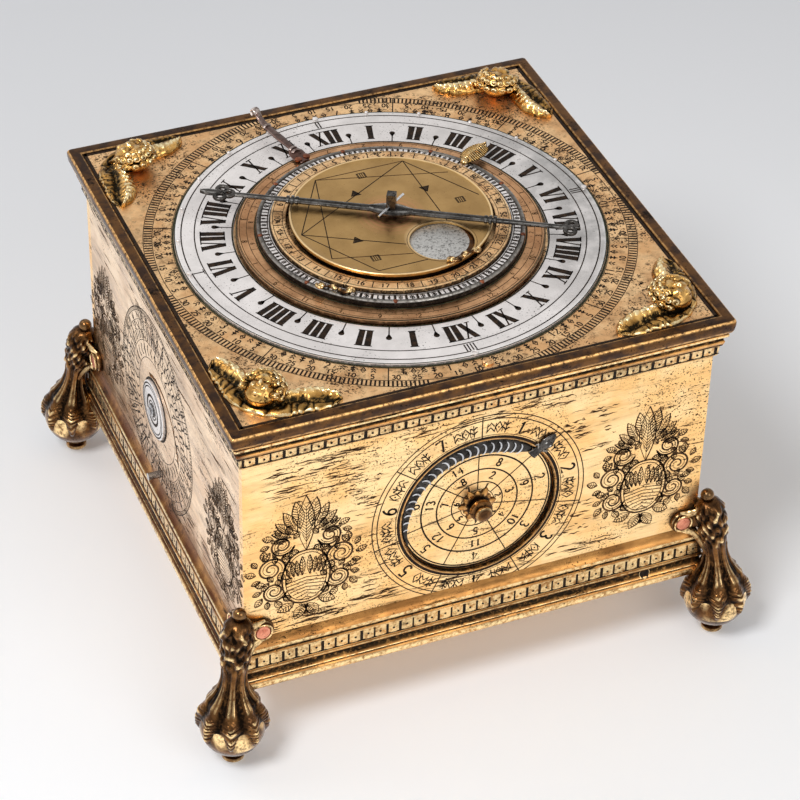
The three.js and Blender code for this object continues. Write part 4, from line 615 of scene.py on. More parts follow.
def dentils():
    """Two bands of blocks: each is cut off by an upright dark stroke with a small foot, painted shade in the gap
    between blocks, and has a dot. The bands lie on the slopes of the mouldings, a little off them."""
    blocks = 36
    bands = [("upper", 122.1, 125.4, 4.0, 3.62), ("lower", 33.6, 38.1, 2.78, 2.78)]
    for side, wide in (("front", HALF_X), ("back", HALF_X), ("left", HALF_Y), ("right", HALF_Y)):
        for band, low, high, inset_low, inset_high in bands:
            cuts = Cuts()
            edge = wide - inset_low - 1.2
            at = np.linspace(-edge, edge, blocks + 1)
            shade = 0.85 + 0.25 * np.sin(np.arange(blocks + 1) * 2.3)
            # Dark uprights and their feet: painted shade of the gaps between the blocks.
            for x, width in zip(at, shade):
                for half, top in ((width / 2, high), (width * 1.3, low + 0.4)):
                    cuts.shape([(x - half, low), (x + half, low), (x + half, top), (x - half, top)])
            for k, x in enumerate((at[1:] + at[:-1]) / 2):
                cuts.dot((x + 0.2 * math.sin(k * 1.7), (low + high) / 2 + 0.2 * math.cos(k * 2.1)), 0.46, 7)
            cuts.line([(-edge, low), (edge, low)], 0.34)

            def lift(p, slope=((low, high), (inset_low, inset_high))):
                return HALF_X - BODY_X + 0.06 - np.interp(p[:, 1], *slope)
            cuts.lay(f"dentils_{band}_{side}", on_wall(side, lift))


case_mouldings()
dentils()


# Engraving of the dial
ROMAN = ["I", "II", "III", "IIII", "V", "VI", "VII", "VIII", "IX", "X", "XI", "XII"]


def roman(cuts, text, degrees, low, high):
    """Hour figure of thick and thin strokes with fine feet, bent round the ring: the distance
    along the ring becomes an angle, the height a radius."""
    tall = high - low
    pitch = {"I": 2.75, "V": 5.2, "X": 5.0}
    total = sum(pitch[letter] for letter in text)
    mid = (low + high) / 2
    x = -total / 2

    def bent(corners):
        corners = np.asarray(corners, float)
        return polar(low + corners[:, 1], degrees - np.degrees(corners[:, 0] / mid))

    def bar(a, b, width):
        half = width / 2
        cuts.shape(bent([(a - half, 0), (a + half, 0), (b + half, tall), (b - half, tall)]))

    def foot(middle, half, base):
        cuts.shape(bent([(middle - half, base), (middle + half, base), (middle + half, base + 0.42),
                         (middle - half, base + 0.42)]))

    for letter in text:
        middle = x + pitch[letter] / 2
        if letter == "I":
            bar(middle, middle, 2.15)
            foot(middle, 1.4, 0)
            foot(middle, 1.4, tall - 0.42)
        elif letter == "V":
            bar(middle - 0.1, middle - 1.5, 2.05)
            bar(middle + 0.3, middle + 1.75, 0.6)
            foot(middle - 1.55, 1.4, tall - 0.42)
            foot(middle + 1.7, 0.9, tall - 0.42)
        else:
            bar(middle + 1.5, middle - 1.5, 2.05)
            bar(middle - 1.65, middle + 1.65, 0.6)
            for aside, half in ((-1.5, 1.0), (1.5, 1.2)):
                foot(middle + aside, half, 0)
                foot(middle + aside, half, tall - 0.42)
        x += pitch[letter]


def chapter_engraving():
    """Twice twelve hours, half-hour stems with pear-shaped heads, short marks at the quarters, and the
    rings round them."""
    cuts = Cuts()
    for hour in range(24):
        roman(cuts, ROMAN[hour % 12], 75 - 15 * hour, 57.4, 66.1)
        half = 67.5 - 15 * hour
        cuts.rays([half], 55.0, 60.8, 0.42)
        cuts.dot(polar(61.1, half), 1.05, 12)
        cuts.shape([polar(58.6, half), polar(60.8, half - 0.9), polar(60.8, half + 0.9)])
    cuts.rings(((55.0, 0.3), (67.9, 0.42), (72.5, 0.45)))
    for degrees, count in ((0, 3), (90, 2), (180, 1), (270, 4)):
        spread = (np.arange(count) - (count - 1) / 2) * 1.1
        cuts.rays(degrees + np.degrees(spread / 70), 68.4, 72.2, 0.5)
        if count < 2:
            cuts.line(polar(68.4, degrees + np.linspace(-1.2, 1.2, 4)), 0.3)
    cuts.lay("hours_cut_in_the_ring", on_top(CHAPTER_TOP), slot="dark_silver")
    # Dark green lines along the ring's edges and on the plate round it: green dirt and painted shade of the gaps
    # between ring and plate.
    edges = Cuts()
    edges.rings(((74.75, 0.36), (54.8, 0.34)))
    edges.lay("green_dirt_and_shade_at_the_ring", on_top(CHAPTER_TOP), green_dirt_and_gap_shade, slot="dark_silver")
    edges = Cuts()
    edges.rings([(75.4, 0.7)])
    edges.lay("green_dirt_and_shade_on_the_plate", on_top(PLATE_TOP), green_dirt_and_gap_shade, slot="dial_gilt")


def sprig(cuts, at, turn, size, kind):
    """Small cut mark in place of a letter: a twig with paired leaves, a lozenge, or two chevrons."""
    def put(points):
        return np.column_stack(spun(*(np.asarray(points, float) * size).T, turn)) + np.asarray(at)
    if kind % 3 == 0:
        cuts.line(put([(0, -0.5), (0, 0.5)]), 0.42)
        for rise in (-0.28, 0.1):
            for side in (-1, 1):
                cuts.line(put([(0, rise), (0.17 * side, rise + 0.2), (0.3 * side, rise + 0.2)]), [0.3, 0.66, 0.24])
    elif kind % 3 == 1:
        cuts.line(put([(0, 0.46), (0.26, 0), (0, -0.46), (-0.26, 0), (0, 0.46)]), [0.36, 0.56, 0.36, 0.56, 0.36])
        cuts.dot(put([(0, 0)])[0], 0.36, 6)
    else:
        for rise in (-0.3, 0.08):
            cuts.line(put([(-0.26, rise), (0, rise + 0.3), (0.26, rise)]), 0.5)


def calendar_engraving():
    """Day track of dark and light cells, day numbers by fives, month numbers with small sprigs
    between dividing strokes. What would reach past the plate's edge is left out. Painted shade of the
    frame's recess lies along the frame, and a small boss stands on the plate."""
    cuts = Cuts()
    cuts.rings(((75.95, 0.2), (82.5, 0.26), (85.6, 0.26)))
    cuts.rays(np.arange(365) * 360 / 365, 82.7, 85.4, 0.66)
    cuts.rays(np.arange(12) * 30 + 7.5, 75.9, 85.6, 0.4)
    for month in range(12):
        start = 277.5 - 30 * month
        for k in range(1, 7):
            angle = start - 4.9 * k + 1.2
            cuts.number(5 * k, polar(80.75, angle), angle + 90, 2.2, 0.46)
        cuts.number(month + 1, polar(77.6, start - 15), start + 75, 3.0, 0.5)
        for j, k in enumerate((-11.4, -8.9, -6.4, -3.9, 3.9, 6.4, 8.9, 11.4)):
            at = start - 15 + k
            sprig(cuts, polar(77.6, at), at + 90, 3.0, j + month)
    flat = np.concatenate(cuts.points)
    inside = (np.abs(flat[:, 0]) < 85.1) & (np.abs(flat[:, 1]) < 83.1)
    cuts.faces = [face for face in cuts.faces if all(inside[corner] for corner in face)]
    cuts.lay("calendar_cut_in_the_plate", on_top(PLATE_TOP), slot="dial_gilt")
    # A dark band along the plate's edge: painted shade where the frame stands above the plate.
    border = Cuts()
    for side in (1, -1):
        border.line([(84.5 * side, -83.1), (84.5 * side, 83.1)], 1.2)
        border.line([(-84.9, 82.5 * side), (84.9, 82.5 * side)], 1.2)
    border.lay("painted_shade_along_the_frame", on_top(PLATE_TOP + 0.01), ink_and_painted_shade, slot="dial_gilt")
    boss = lathe([(0, 137.3), (1.9, 137.3), (1.9, 138.0), (1.5, 138.35), (0, 138.45)], 24, polar(78.8, 272))
    piece("small_boss_on_the_plate", boss, "dial_gilt")


chapter_engraving()
calendar_engraving()


def rings():
    """Each ring is turned smooth: a flat top between rolled edges, closed underneath."""
    edge = 0.35

    def ring(name, inner, outer, low, top, finish, body, stands_for, lip=0.0, dirt_and_painted_shade=-0.9):
        points = [(inner, low), (outer, low), (outer, top - edge), (outer - edge * 0.3, top - edge * 0.3),
                  (outer - edge, top + lip), (outer - edge - 0.9, top + lip), (outer - edge - 1.2, top),
                  (inner + 1.6, top), (inner + 0.5, top), (inner, top - 0.1), (inner, low)]
        # Dark walls, where the rings meet their neighbours: dirt and painted shade; the rolled outer edge gets a
        # painted highlight.
        rub = [0, dirt_and_painted_shade, dirt_and_painted_shade, 0.6, 0.5, 0.2, 0, 0, 0, dirt_and_painted_shade * 0.6, dirt_and_painted_shade]
        return piece(name, lathe(points, 200, rub=rub), finish, body, stands_for)

    ring("silvered_hour_ring", 54.5, 75.0, 137.4, CHAPTER_TOP, "ring_silver", "case", ("chapter_ring",))
    ring("date_ring_face", 45.0, 53.7, 138.5, YEAR_TOP, "copper_gilt", "year", ("year_ring",))
    ring("dark_ring_of_small_rivets", 41.0, 46.7, 140.2, SUN_TOP, "dark_silver", "sun", ("sun_ring",), lip=0.25)
    ring("age_numbers_ring", 36.4, 41.7, 142.3, AGE_TOP, "dial_gilt", "sun", ("age_ring",))


def touch_pins():
    """Small turned knobs for the fingertip at every hour of half the ring, three of them larger, and a
    small hoop across from the middle one."""
    pins = Form()
    for degrees in range(0, 181, 15):
        size = 1.35 if degrees % 90 == 0 else 0.85
        profile = [(0, 138.3), (0.55 * size, 138.3), (0.4 * size, 138.8), (0.75 * size, 139.1),
                   (0.72 * size, 139.5), (0.4 * size, 139.75), (0, 139.8)]
        pins.join(lathe(profile, 14, polar(73.6, degrees)))
    hoop = even_turn(24)
    path = np.stack([1.0 * np.cos(hoop), -73.8 + 1.0 * np.sin(hoop), np.full(24, 138.7)], -1)
    pins.skin(along(np.concatenate([path, path[:1]]), np.full(25, 0.3), 8))
    piece("touch_pins", pins, "silvered")


rings()
touch_pins()


def date_ring_engraving():
    """Two rows of numbers and dividing strokes between fine rings."""
    cuts = Cuts()
    cuts.rings((radius, 0.24) for radius in (47.3, 49.9, 52.4, 53.1))
    for k in range(24):
        angle = 15 * k + 4
        cuts.rays([angle + 6], 47.4, 50.0, 0.2)
        cuts.number((k * 5) % 12 + 1, polar(51.2, angle), angle + 90, 1.9, 0.36)
        if k % 3:
            cuts.number((k * 7) % 9 + 1, polar(48.6, angle + 2), angle + 92, 1.5, 0.26)
    cuts.lay("date_ring_marks", on_top(YEAR_TOP), pale_ink, "year", "copper_gilt")
    # Dark green lines along the ring's edges: green dirt and painted shade of the gaps round it.
    edge = Cuts()
    edge.rings(((53.45, 0.3), (47.0, 0.4)))
    edge.lay("dirt_and_shade_on_the_date_ring", on_top(YEAR_TOP), green_dirt_and_gap_shade, "year", "copper_gilt")


def dark_ring_engraving():
    """Bright cells with a small dark mark in each, split by black strokes."""
    bright, dark = Cuts(), Cuts()
    for k in range(72):
        angle = 5 * k
        bright.rays([angle + 1.2, angle + 3.4], 42.9, 44.9, 1.2)
        dark.number((k * 5) % 30 + 1, polar(43.9, angle + 2.3), angle + 92, 1.4, 0.36)
    dark.rays(np.arange(72) * 5, 42.4, 45.3, 0.55)
    bright.rings(((42.35, 0.22), (45.3, 0.22)))
    bright.lay("dark_ring_bright_cells", on_top(SUN_TOP - 0.01), finishes["silvered"], "sun", "silvered")
    dark.lay("dark_ring_marks", on_top(SUN_TOP + 0.02), ink_and_painted_shade, "sun", "dark_silver")
    pins = Form()
    for k in range(9):
        spot = polar(45.9, 40 * k + 10)
        pins.join(lathe([(0, 142.2), (0.85, 142.2), (0.8, 142.65), (0.45, 142.92), (0, 143.0)], 14, spot))
    piece("small_rivets_of_the_dark_ring", pins, "brown_copper", "sun")


def age_engraving():
    """Days of the moon's age, 29 and a half steps to the round."""
    cuts = Cuts()
    cuts.rings(((37.5, 0.2), (40.9, 0.2)))
    step = 360 / 29.5
    for n in range(1, 30):
        angle = 281.8 + (n - 20) * step
        cuts.number(n, polar(39.2, angle), angle + 90, 2.1, 0.44)
        cuts.rays([angle + step / 2], 37.5, 40.9, 0.36)
    cuts.lay("age_of_the_moon_numbers", on_top(AGE_TOP), ink_and_painted_shade, "sun", "dial_gilt")


date_ring_engraving()
dark_ring_engraving()
age_engraving()


WINDOW = polar(22.9, -62.4)


def aspect_disc():
    """Disc with a round window away from its middle. Rows run from the window's edge to the rim:
    for each direction out of the window, the distance to the rim solves the circle's equation."""
    angle = even_turn(220)
    ray = np.stack([np.cos(angle), np.sin(angle)], -1)
    dot = ray @ WINDOW
    rim, hole = 34.2, 11.2
    reach = -dot + np.sqrt(dot ** 2 - WINDOW @ WINDOW + rim ** 2)
    share = np.linspace(0, 1, 14)[:, None]
    radius = hole + share * (reach - hole)
    flat = WINDOW + radius[..., None] * ray
    top = np.full(flat.shape[:2], ASPECT_TOP - 0.25)
    rows = np.concatenate([flat, top[..., None]], -1)
    outer = flat[-1] / np.linalg.norm(flat[-1], axis=1, keepdims=True)
    edge = [(34.45, 145.45), (34.65, 145.6), (35.1, 145.6), (35.3, 145.4), (35.3, 144.5)]
    rim_rows = np.stack([np.column_stack([outer * r, np.full(len(outer), z)]) for r, z in edge])
    lip = [(hole, 145.0), (hole, 144.5)]
    lip_rows = np.stack([np.column_stack([WINDOW + ray * r, np.full(len(ray), z)]) for r, z in lip])[::-1]
    grid = np.concatenate([lip_rows, rows, rim_rows])
    rub = np.zeros(grid.shape[:2])
    rub[-4:-2] = 0.9
    rub[2] = 0.7
    piece("aspect_disc_face", Form().skin(grid, rub, True), aspect_finish(), "moon", ("aspect_disc",))


def aspect_finish():
    """Olive gold with reddish polished rings round the hub: the distance from the middle drives
    a wave that fades outwards."""
    r = Recipe("aspect_gilt")
    axes = r.axes()
    distance = r.sum("POWER", r.plus(r.times(axes["X"], axes["X"]), r.times(axes["Y"], axes["Y"])), 0.5)
    wave = r.sum("SINE", r.times(distance, 3400.0))
    glow = r.times(r.ramp(distance, 0.013, 0.006), r.ramp(wave, -1, 1, 0.25, 1.0))
    patches = r.ramp(r.noise(12), 0.36, 0.64)
    colour = r.blend(patches, tone(172, 136, 84), tone(192, 154, 98))
    soil = r.plus(r.ramp(r.noise(3, detail=8, rough=0.75), 0.66, 0.8), r.ramp(r.noise(0.6, detail=2), 0.7, 0.76))
    colour = r.blend(glow, colour, tone(206, 146, 104))
    colour = r.blend(r.times(soil, 0.8), colour, tone(84, 58, 34))
    colour = r.blend(r.ramp(r.rub(), 0.2, 0.9), colour, tone(248, 214, 160))
    r.bump(r.plus(r.times(glow, 0.5), r.noise(0.8, detail=4)), 0.2, 0.03)
    return r.surface(colour, r.ramp(r.noise(2.0, detail=6), 0.3, 0.7, 0.26, 0.44), 1.0)


def aspect_engraving():
    """Chords between six points of the rim, cut short at the window, and small hatched triangles and
    squares among them."""
    cuts, faint = Cuts(), Cuts()
    for start, end in ((1, 61), (61, 121), (121, 181), (181, 241), (241, 301), (61, 181), (181, 301), (301, 61),
                       (121, 211), (211, 301), (31, 121)):
        a, b = polar(33.2, start), polar(33.2, end)
        share = np.linspace(0, 1, 60)[:, None]
        path = a + share * (b - a)
        keep = np.linalg.norm(path - WINDOW, axis=1) > 11.9
        runs = np.split(np.arange(60), np.where(np.diff(keep.astype(int)) != 0)[0] + 1)
        for run in runs:
            if keep[run[0]] and len(run) > 2:
                (faint if (start, end) in ((31, 121), (211, 301), (61, 121)) else cuts).line(path[run], 0.36)
    for radius, degrees, sides, turn in ((17.4, 114, 3, 90), (20.2, 32, 3, 270), (19.5, 211.6, 3, 90),
                                         (25.6, 92, 4, 45), (26, 0, 4, 45), (26.2, 236.6, 4, 45)):
        at = polar(radius, degrees)
        corners = polar(2.1, np.arange(sides) * 360 / sides + turn) + at
        cuts.line(np.concatenate([corners, corners[:1]]), 0.34)
        (p, q), (u, v) = (corners[[0, 1]], corners[[0, 2]]) if sides == 3 else (corners[[0, 1]], corners[[3, 2]])
        hatches, width = (6, 0.42) if sides == 3 else (4, 0.3)
        for share in (np.arange(hatches) + 0.5) / hatches:
            cuts.line(np.stack([p + share * (q - p), u + share * (v - u)]), width)
    edge = Cuts()
    edge.rings([(12.0, 0.2)], WINDOW)
    for name, drawing, finish in (("aspect_lines", cuts, ink_and_painted_shade), ("aspect_faint_lines", faint, pale_ink),
                                  ("window_edge_line", edge, pale_ink)):
        drawing.lay(name, on_top(ASPECT_TOP - 0.25), finish, "moon", "dial_gilt")


def moon_disc():
    """Phase disc under the window: dark gilt, with the silvered round of the moon set on it."""
    disc = lathe([(3, 142.5), (34.6, 142.5), (34.6, 144.0), (34.3, 144.2), (3, 144.2), (3, 142.5)], 96)
    piece("phase_disc_face", disc, "dark_bronze", "sun", ("phase_disc",))
    moon = lathe([(0, 144.28), (10.9, 144.28), (11.05, 144.2), (11.05, 144.0), (0, 144.0)], 64,
                 WINDOW + np.array([-1.0, 1.9]))
    piece("silvered_moon", moon, moon_finish(), "sun")


def moon_finish():
    """Old silver, dull and pitted with dark specks."""
    r = Recipe("moon_silver")
    specks = r.ramp(r.noise(0.9, detail=5, rough=0.8), 0.5, 0.62)
    r.bump(r.noise(0.7, detail=6, rough=0.8), 0.6, 0.08)
    return r.surface(r.blend(specks, tone(196, 194, 190), tone(96, 93, 90)),
                     r.ramp(r.noise(1.0, detail=4), 0.3, 0.7, 0.4, 0.65), 0.85)


aspect_disc()
aspect_engraving()
moon_disc()


# Long steel hand
def turned_about(degrees):
    """Change of place: a turn about the clock's upright middle line."""
    return lambda p: np.column_stack([*spun(p[:, 0], p[:, 1], degrees), p[:, 2]])


def bevelled_bar(xs, half_widths, low, high):
    """Bar along X with nine-cornered section: a ridge between chamfers, its width set per x."""
    xs, half = np.asarray(xs, float)[:, None], np.asarray(half_widths, float)[:, None]
    y = np.array([[-1, -1, -0.6, 0, 0.6, 1, 1, 0.6, -0.6]]) * half
    rise = np.array([[0.3, 0.6, 0.92, 1, 0.92, 0.6, 0.3, 0, 0]])
    z = low + rise * (high - low)
    return np.stack(np.broadcast_arrays(xs, y, z), -1)


def hoop(x, y, z, radius, wall):
    """Closed ring of round section lying flat."""
    a = even_turn(26)[:, None]
    b = even_turn(10)[None, :]
    out = radius + wall * np.cos(b)
    return np.stack([x + out * np.cos(a), y + out * np.sin(a), z + wall * np.sin(b) + 0 * a], -1)


def long_hand():
    """Two bevelled arms from a swelling middle, with collars; a trefoil of rings and a leaf at one end,
    two rings and a spur at the other. The taper pin goes through the square above it."""
    hand = Form()
    mid = (HAND_LOW + HAND_TOP) / 2
    # Wear and painted light round the bar's section: a painted highlight on one upper chamfer, darker lower faces.
    rub = np.array([-0.7, 0.1, 0.8, -0.6, 0.5, -0.2, -0.7, -0.8, -0.8])
    for sign in (1, -1):
        xs = np.linspace(5.0, 34.5, 24)
        half = 1.8 - 0.25 * (xs - 5) / 29.5 + 0.05 * np.sin(xs * 1.9)
        hand.tube(bevelled_bar(sign * xs, half, HAND_LOW + 0.1, HAND_TOP - 0.05), rub * 0.7)
        end = 54.6 if sign > 0 else 59.6
        xs = np.linspace(34.5, end, 20)
        half = 1.4 - 0.35 * (xs - 34.5) / (end - 34.5)
        hand.tube(bevelled_bar(sign * xs, half, HAND_LOW + 0.25, HAND_TOP - 0.3), rub)
        for x, size in ((32.9, 1.9), (34.5, 2.4), (36.1, 1.9)):
            collar = sign * (x + np.array([-0.55, -0.4, 0.4, 0.55]))
            hand.tube(bevelled_bar(collar, np.array([0.8, 1, 1, 0.8]) * size, HAND_LOW - 0.1, HAND_TOP + 0.25), rub)
    xs = np.linspace(-7.6, 7.6, 40)
    share = np.abs(xs) / 7.6
    half = 1.3 + 2.5 * np.clip(1 - share ** 1.6, 0, 1) ** 0.9
    hand.tube(bevelled_bar(xs, half, HAND_LOW, HAND_TOP + 0.2), rub)
    for x, y in ((56.9, 0), (59.6, 2.15), (59.6, -2.15)):
        hand.skin(hoop(x, y, mid, 1.75, 0.8), 0.1, True)
    blade_x = np.linspace(60.0, 67.0, 16)
    half = 0.25 + 1.45 * np.sin(np.linspace(0.35, math.pi, 16)) ** 0.9
    hand.tube(bevelled_bar(blade_x, half, HAND_LOW + 0.1, HAND_TOP - 0.1), rub)
    for y in (1.95, -1.95):
        hand.skin(hoop(-62.2, y, mid, 1.7, 0.82), 0.1, True)
    xs = -np.linspace(59.2, 65.4, 8)
    hand.tube(bevelled_bar(xs, [0.8, 0.9, 0.7, 0.45, 0.4, 0.5, 0.6, 0.2], HAND_LOW + 0.2, HAND_TOP - 0.2), rub)
    piece("long_steel_hand", hand.moved(turned_about(HAND_AT)), "black_steel", "hand", ("long_hand",))
    pin = Form()
    path = np.linspace(-8.2, 7.8, 10)
    width = np.interp(path, [-8.2, 7.8], [0.34, 0.52])
    pin.tube(along(np.column_stack([path, 0 * path, np.full(10, 149.3)]), width, 14), 0.7)
    piece("bright_taper_pin", pin.moved(turned_about(PIN_AT)), "bright_steel", "hand", ("taper_pin",))


# Pointers and scrolls on the rings
def date_arm():
    """Steel strip from its two copper rivets out over the hours, rising to a curled end."""
    path = smooth([(49.2, 0, 140.5), (52.6, 0, 140.6), (54.6, 0, 141.0), (58, 0, 141.7), (64, 0, 142.2),
                   (70, 0, 142.5), (74.6, 0, 143.2), (77.4, 0, 144.6), (78.8, 0, 146.2), (80.2, 0, 146.5),
                   (80.3, 0, 145.2), (79.2, 0, 144.7)], 70)
    share = np.linspace(0, 1, 70)
    half = np.interp(share, [0, 0.06, 0.2, 0.28, 0.36, 0.6, 0.8, 1.0], [1.6, 3.0, 3.0, 1.2, 1.7, 1.25, 1.5, 2.0])
    rub = np.interp(share, [0, 0.62, 0.8, 1], [0.1, 0.3, 0.95, 1])[:, None]
    arm = Form().tube(along(path, half, 12, np.clip(0.55 / half, 0.16, 0.5)), rub)
    for x in (55.2, 57.0, 72.6):
        arm.tube(bevelled_bar(x + np.array([-0.5, -0.3, 0.3, 0.5]), [1.5, 1.8, 1.8, 1.5],
                              140.9 + (x - 55) * 0.08, 142.4 + (x - 55) * 0.075), 0.5)
    piece("steel_date_arm", arm.moved(turned_about(ARM_AT)), "brown_steel", "year", ("date_arm",))
    rivets = Form()
    for aside in (-1.75, 1.75):
        rivets.join(lathe([(0, 140.6), (1.35, 140.6), (1.3, 141.35), (0.8, 141.62), (0, 141.7)], 20, (51.2, aside)))
    piece("copper_rivets_of_the_date_arm", rivets.moved(turned_about(ARM_AT)), "brown_copper", "year",
          ("date_arm_rivet_1", "date_arm_rivet_2"))


def sun_pointer():
    """Serrated gilt leaf: its half width swells and closes along its length in saw teeth, and its
    back rises to a ridge between ribs."""
    u = np.linspace(-1, 1, 90)
    v = np.linspace(-1, 1, 17)
    teeth = 1 - 0.42 * ((u * 7.5) % 1)
    half = 4.2 * np.clip(1 - np.abs(u + 0.12) ** 2.1 / 1.28, 0.02, 1) ** 0.75 * teeth
    half = np.where(u > 0.72, np.minimum(half, (1 - u) * 5.4 + 0.05), half)
    x = 51.9 + 6.9 * u[:, None] + 0 * v
    y = half[:, None] * v[None, :]
    ribs = 0.4 * np.cos(u[:, None] * 7.5 * TAU + np.abs(v)[None, :] * 3.4)
    z = 143.55 + 0.75 * (1 - np.abs(v)[None, :] ** 0.8) + ribs * (1 - 0.7 * np.abs(v)[None, :] ** 3)
    grid = with_underside(np.stack([x, y, z], -1), 143.2)
    rub = np.concatenate([ribs * 3.2 - 0.4, np.full(ribs.shape, -1.0)], 1)
    blade = Form().tube(grid, rub)
    blade.skin(blob((44.9, 0, 143.1), (1.5, 1.5, 1.1)), 0.4)
    blade.skin(blob((46.8, 0, 143.4), (1.1, 2.1, 0.9)), 0.2)
    blade.tube(along([(43.6, 0, 142.6), (45, 0, 142.9), (47, 0, 143.3)], [1.0, 1.1, 0.9], 12), -0.3)
    piece("serrated_sun_pointer", blade.moved(turned_about(SUN_AT)), "cast_gilt", "sun", ("sun_pointer",))


def scroll(radius, degrees, low, flip):
    """S-shaped scroll lying on a ring: two curls of shrinking radius joined by a wave."""
    form = Form()
    t = np.linspace(0, 1, 40)
    wave = np.stack([(t - 0.5) * 9.6, 0.95 * np.sin(t * TAU * 1.25 + 0.5), low + 0.75 + 0.15 * np.sin(t * 9)], -1)
    form.tube(along(wave, 0.35 + 0.42 * np.abs(np.sin(t * TAU * 1.25)), 10), 0.9 * np.cos(t * 20)[:, None])
    for end in (-1, 1):
        s = np.linspace(0, 1, 26)
        size = 1.55 * (1 - 0.72 * s)
        a = s * TAU * 1.2 + (0 if end > 0 else math.pi)
        curl = np.stack([end * 5.0 + size * np.cos(a), 0.9 * end + size * np.sin(a), low + 0.7 + 0 * s], -1)
        form.tube(along(curl, 0.5 - 0.12 * s, 10), 0.7)
        form.skin(blob((end * 5.0, 0.9 * end, low + 0.9), (0.6, 0.6, 0.5), 8), 1.0)
    form.skin(blob((0, 0.1, low + 0.8), (1.0, 0.8, 0.7), 8), 0.8)
    place = turned_about(degrees)

    def bend(p):
        angle = -p[:, 0] / radius * flip
        out = radius + p[:, 1]
        return place(np.column_stack([out * np.cos(angle), out * np.sin(angle), p[:, 2]]))
    return form.moved(bend)


long_hand()
date_arm()
sun_pointer()
piece("dark_scroll_on_the_ring", scroll(44.2, -137, SUN_TOP, 1), "foot_bronze", "sun", ("sun_scroll",))
piece("dark_scroll_of_the_moon", scroll(34.8, -66.5, ASPECT_TOP - 0.1, -1), "foot_bronze", "moon",
      ("moon_scroll",))


# Weekday dial on the front
def weekday():
    """The disc's face with seven rays and four rings of numbers, its leaf rosette and knob."""
    disc = lathe([(2.2, 80.2), (28.05, 80.2), (28.05, 81.0), (27.85, 81.2), (2.2, 81.2), (2.2, 80.2)], 128,
                 rub=[0, 0, 0.4, 0.4, 0, 0])
    piece("weekday_disc_face", disc.moved(on_weekday_dial), "gilt", "weekday", ("weekday_disc",))
    cuts = Cuts()
    # The ring at 27.6 mm, at the disc's rim, is painted shade of the opening's recess.
    cuts.rings(((9.4, 0.46), (14.9, 0.56), (20.6, 0.62), (26.7, 0.5), (27.6, 0.6), (6.2, 0.3)))
    cuts.rays(np.arange(7) * 360 / 7 + 90, 6.4, 26.9, 0.4)
    for k in range(7):
        angle = 90 - (k + 0.5) * 360 / 7
        for radius, value, height in ((23.6, k + 1, 3.6), (17.8, k + 8, 3.1), (12.2, k + 2, 2.9), (7.8, k + 1, 2.0)):
            cuts.number(value, polar(radius, angle), angle - 90, height, 0.62)
    cuts.lay("weekday_numbers", on_top(WEEKDAY_FACE, on_weekday_dial), ink_and_painted_shade, "weekday", "gilt")
    leaves = Form()
    for k in range(12):
        reach = 7.0 if k % 2 == 0 else 5.6
        spine = np.array([(1.5, 0, 81.4), (reach * 0.5, 0, 81.7), (reach * 0.85, 0, 81.5), (reach, 0, 81.2)])
        petal = along(smooth(spine, 14), 0.3 + 1.0 * np.sin(np.linspace(0.3, math.pi, 14)), 10, 0.4)
        edges = 1.5 * np.abs(np.cos(even_turn(10)))[None, :] ** 4
        leaves.join(Form().tube(petal, np.linspace(0.9, -0.3, 14)[:, None] - edges)
                    .moved(turned_about(30 * k)))
    piece("leaf_rosette_of_the_knob", leaves.moved(on_weekday_dial), "moulding_gilt", "weekday")
    knob = [(0, 81.3), (4.7, 81.3), (4.9, 81.8), (4.0, 82.2), (2.6, 82.5), (2.5, 83.1), (3.7, 83.6), (4.2, 84.5),
            (4.0, 85.5), (2.8, 86.0), (2.5, 86.3), (3.1, 86.9), (3.0, 87.6), (2.1, 88.2), (1.0, 88.35), (0, 88.4)]
    rub = [0, -0.5, 0.3, -0.8, -1, -1, -0.6, 0.3, 0.1, -0.9, -1, 0.1, 0.5, 0.1, -0.3, -0.3]
    piece("turned_knob", lathe(knob, 48, rub=rub).moved(on_weekday_dial), "foot_bronze", "weekday")
    # Dark inner part of the opening's edge: painted shade of the recess, with a painted highlight on its rim.
    lip = lathe([(28.2, 81.4), (29.0, 81.4), (29.0, 82.85), (28.75, 82.95), (28.4, 82.85), (28.2, 82.6),
                 (28.2, 81.4)], 128, rub=[-1, -1, -0.6, 0.6, -0.7, -1, -1])
    piece("edge_of_the_weekday_opening", lip.moved(on_weekday_dial), "moulding_gilt")


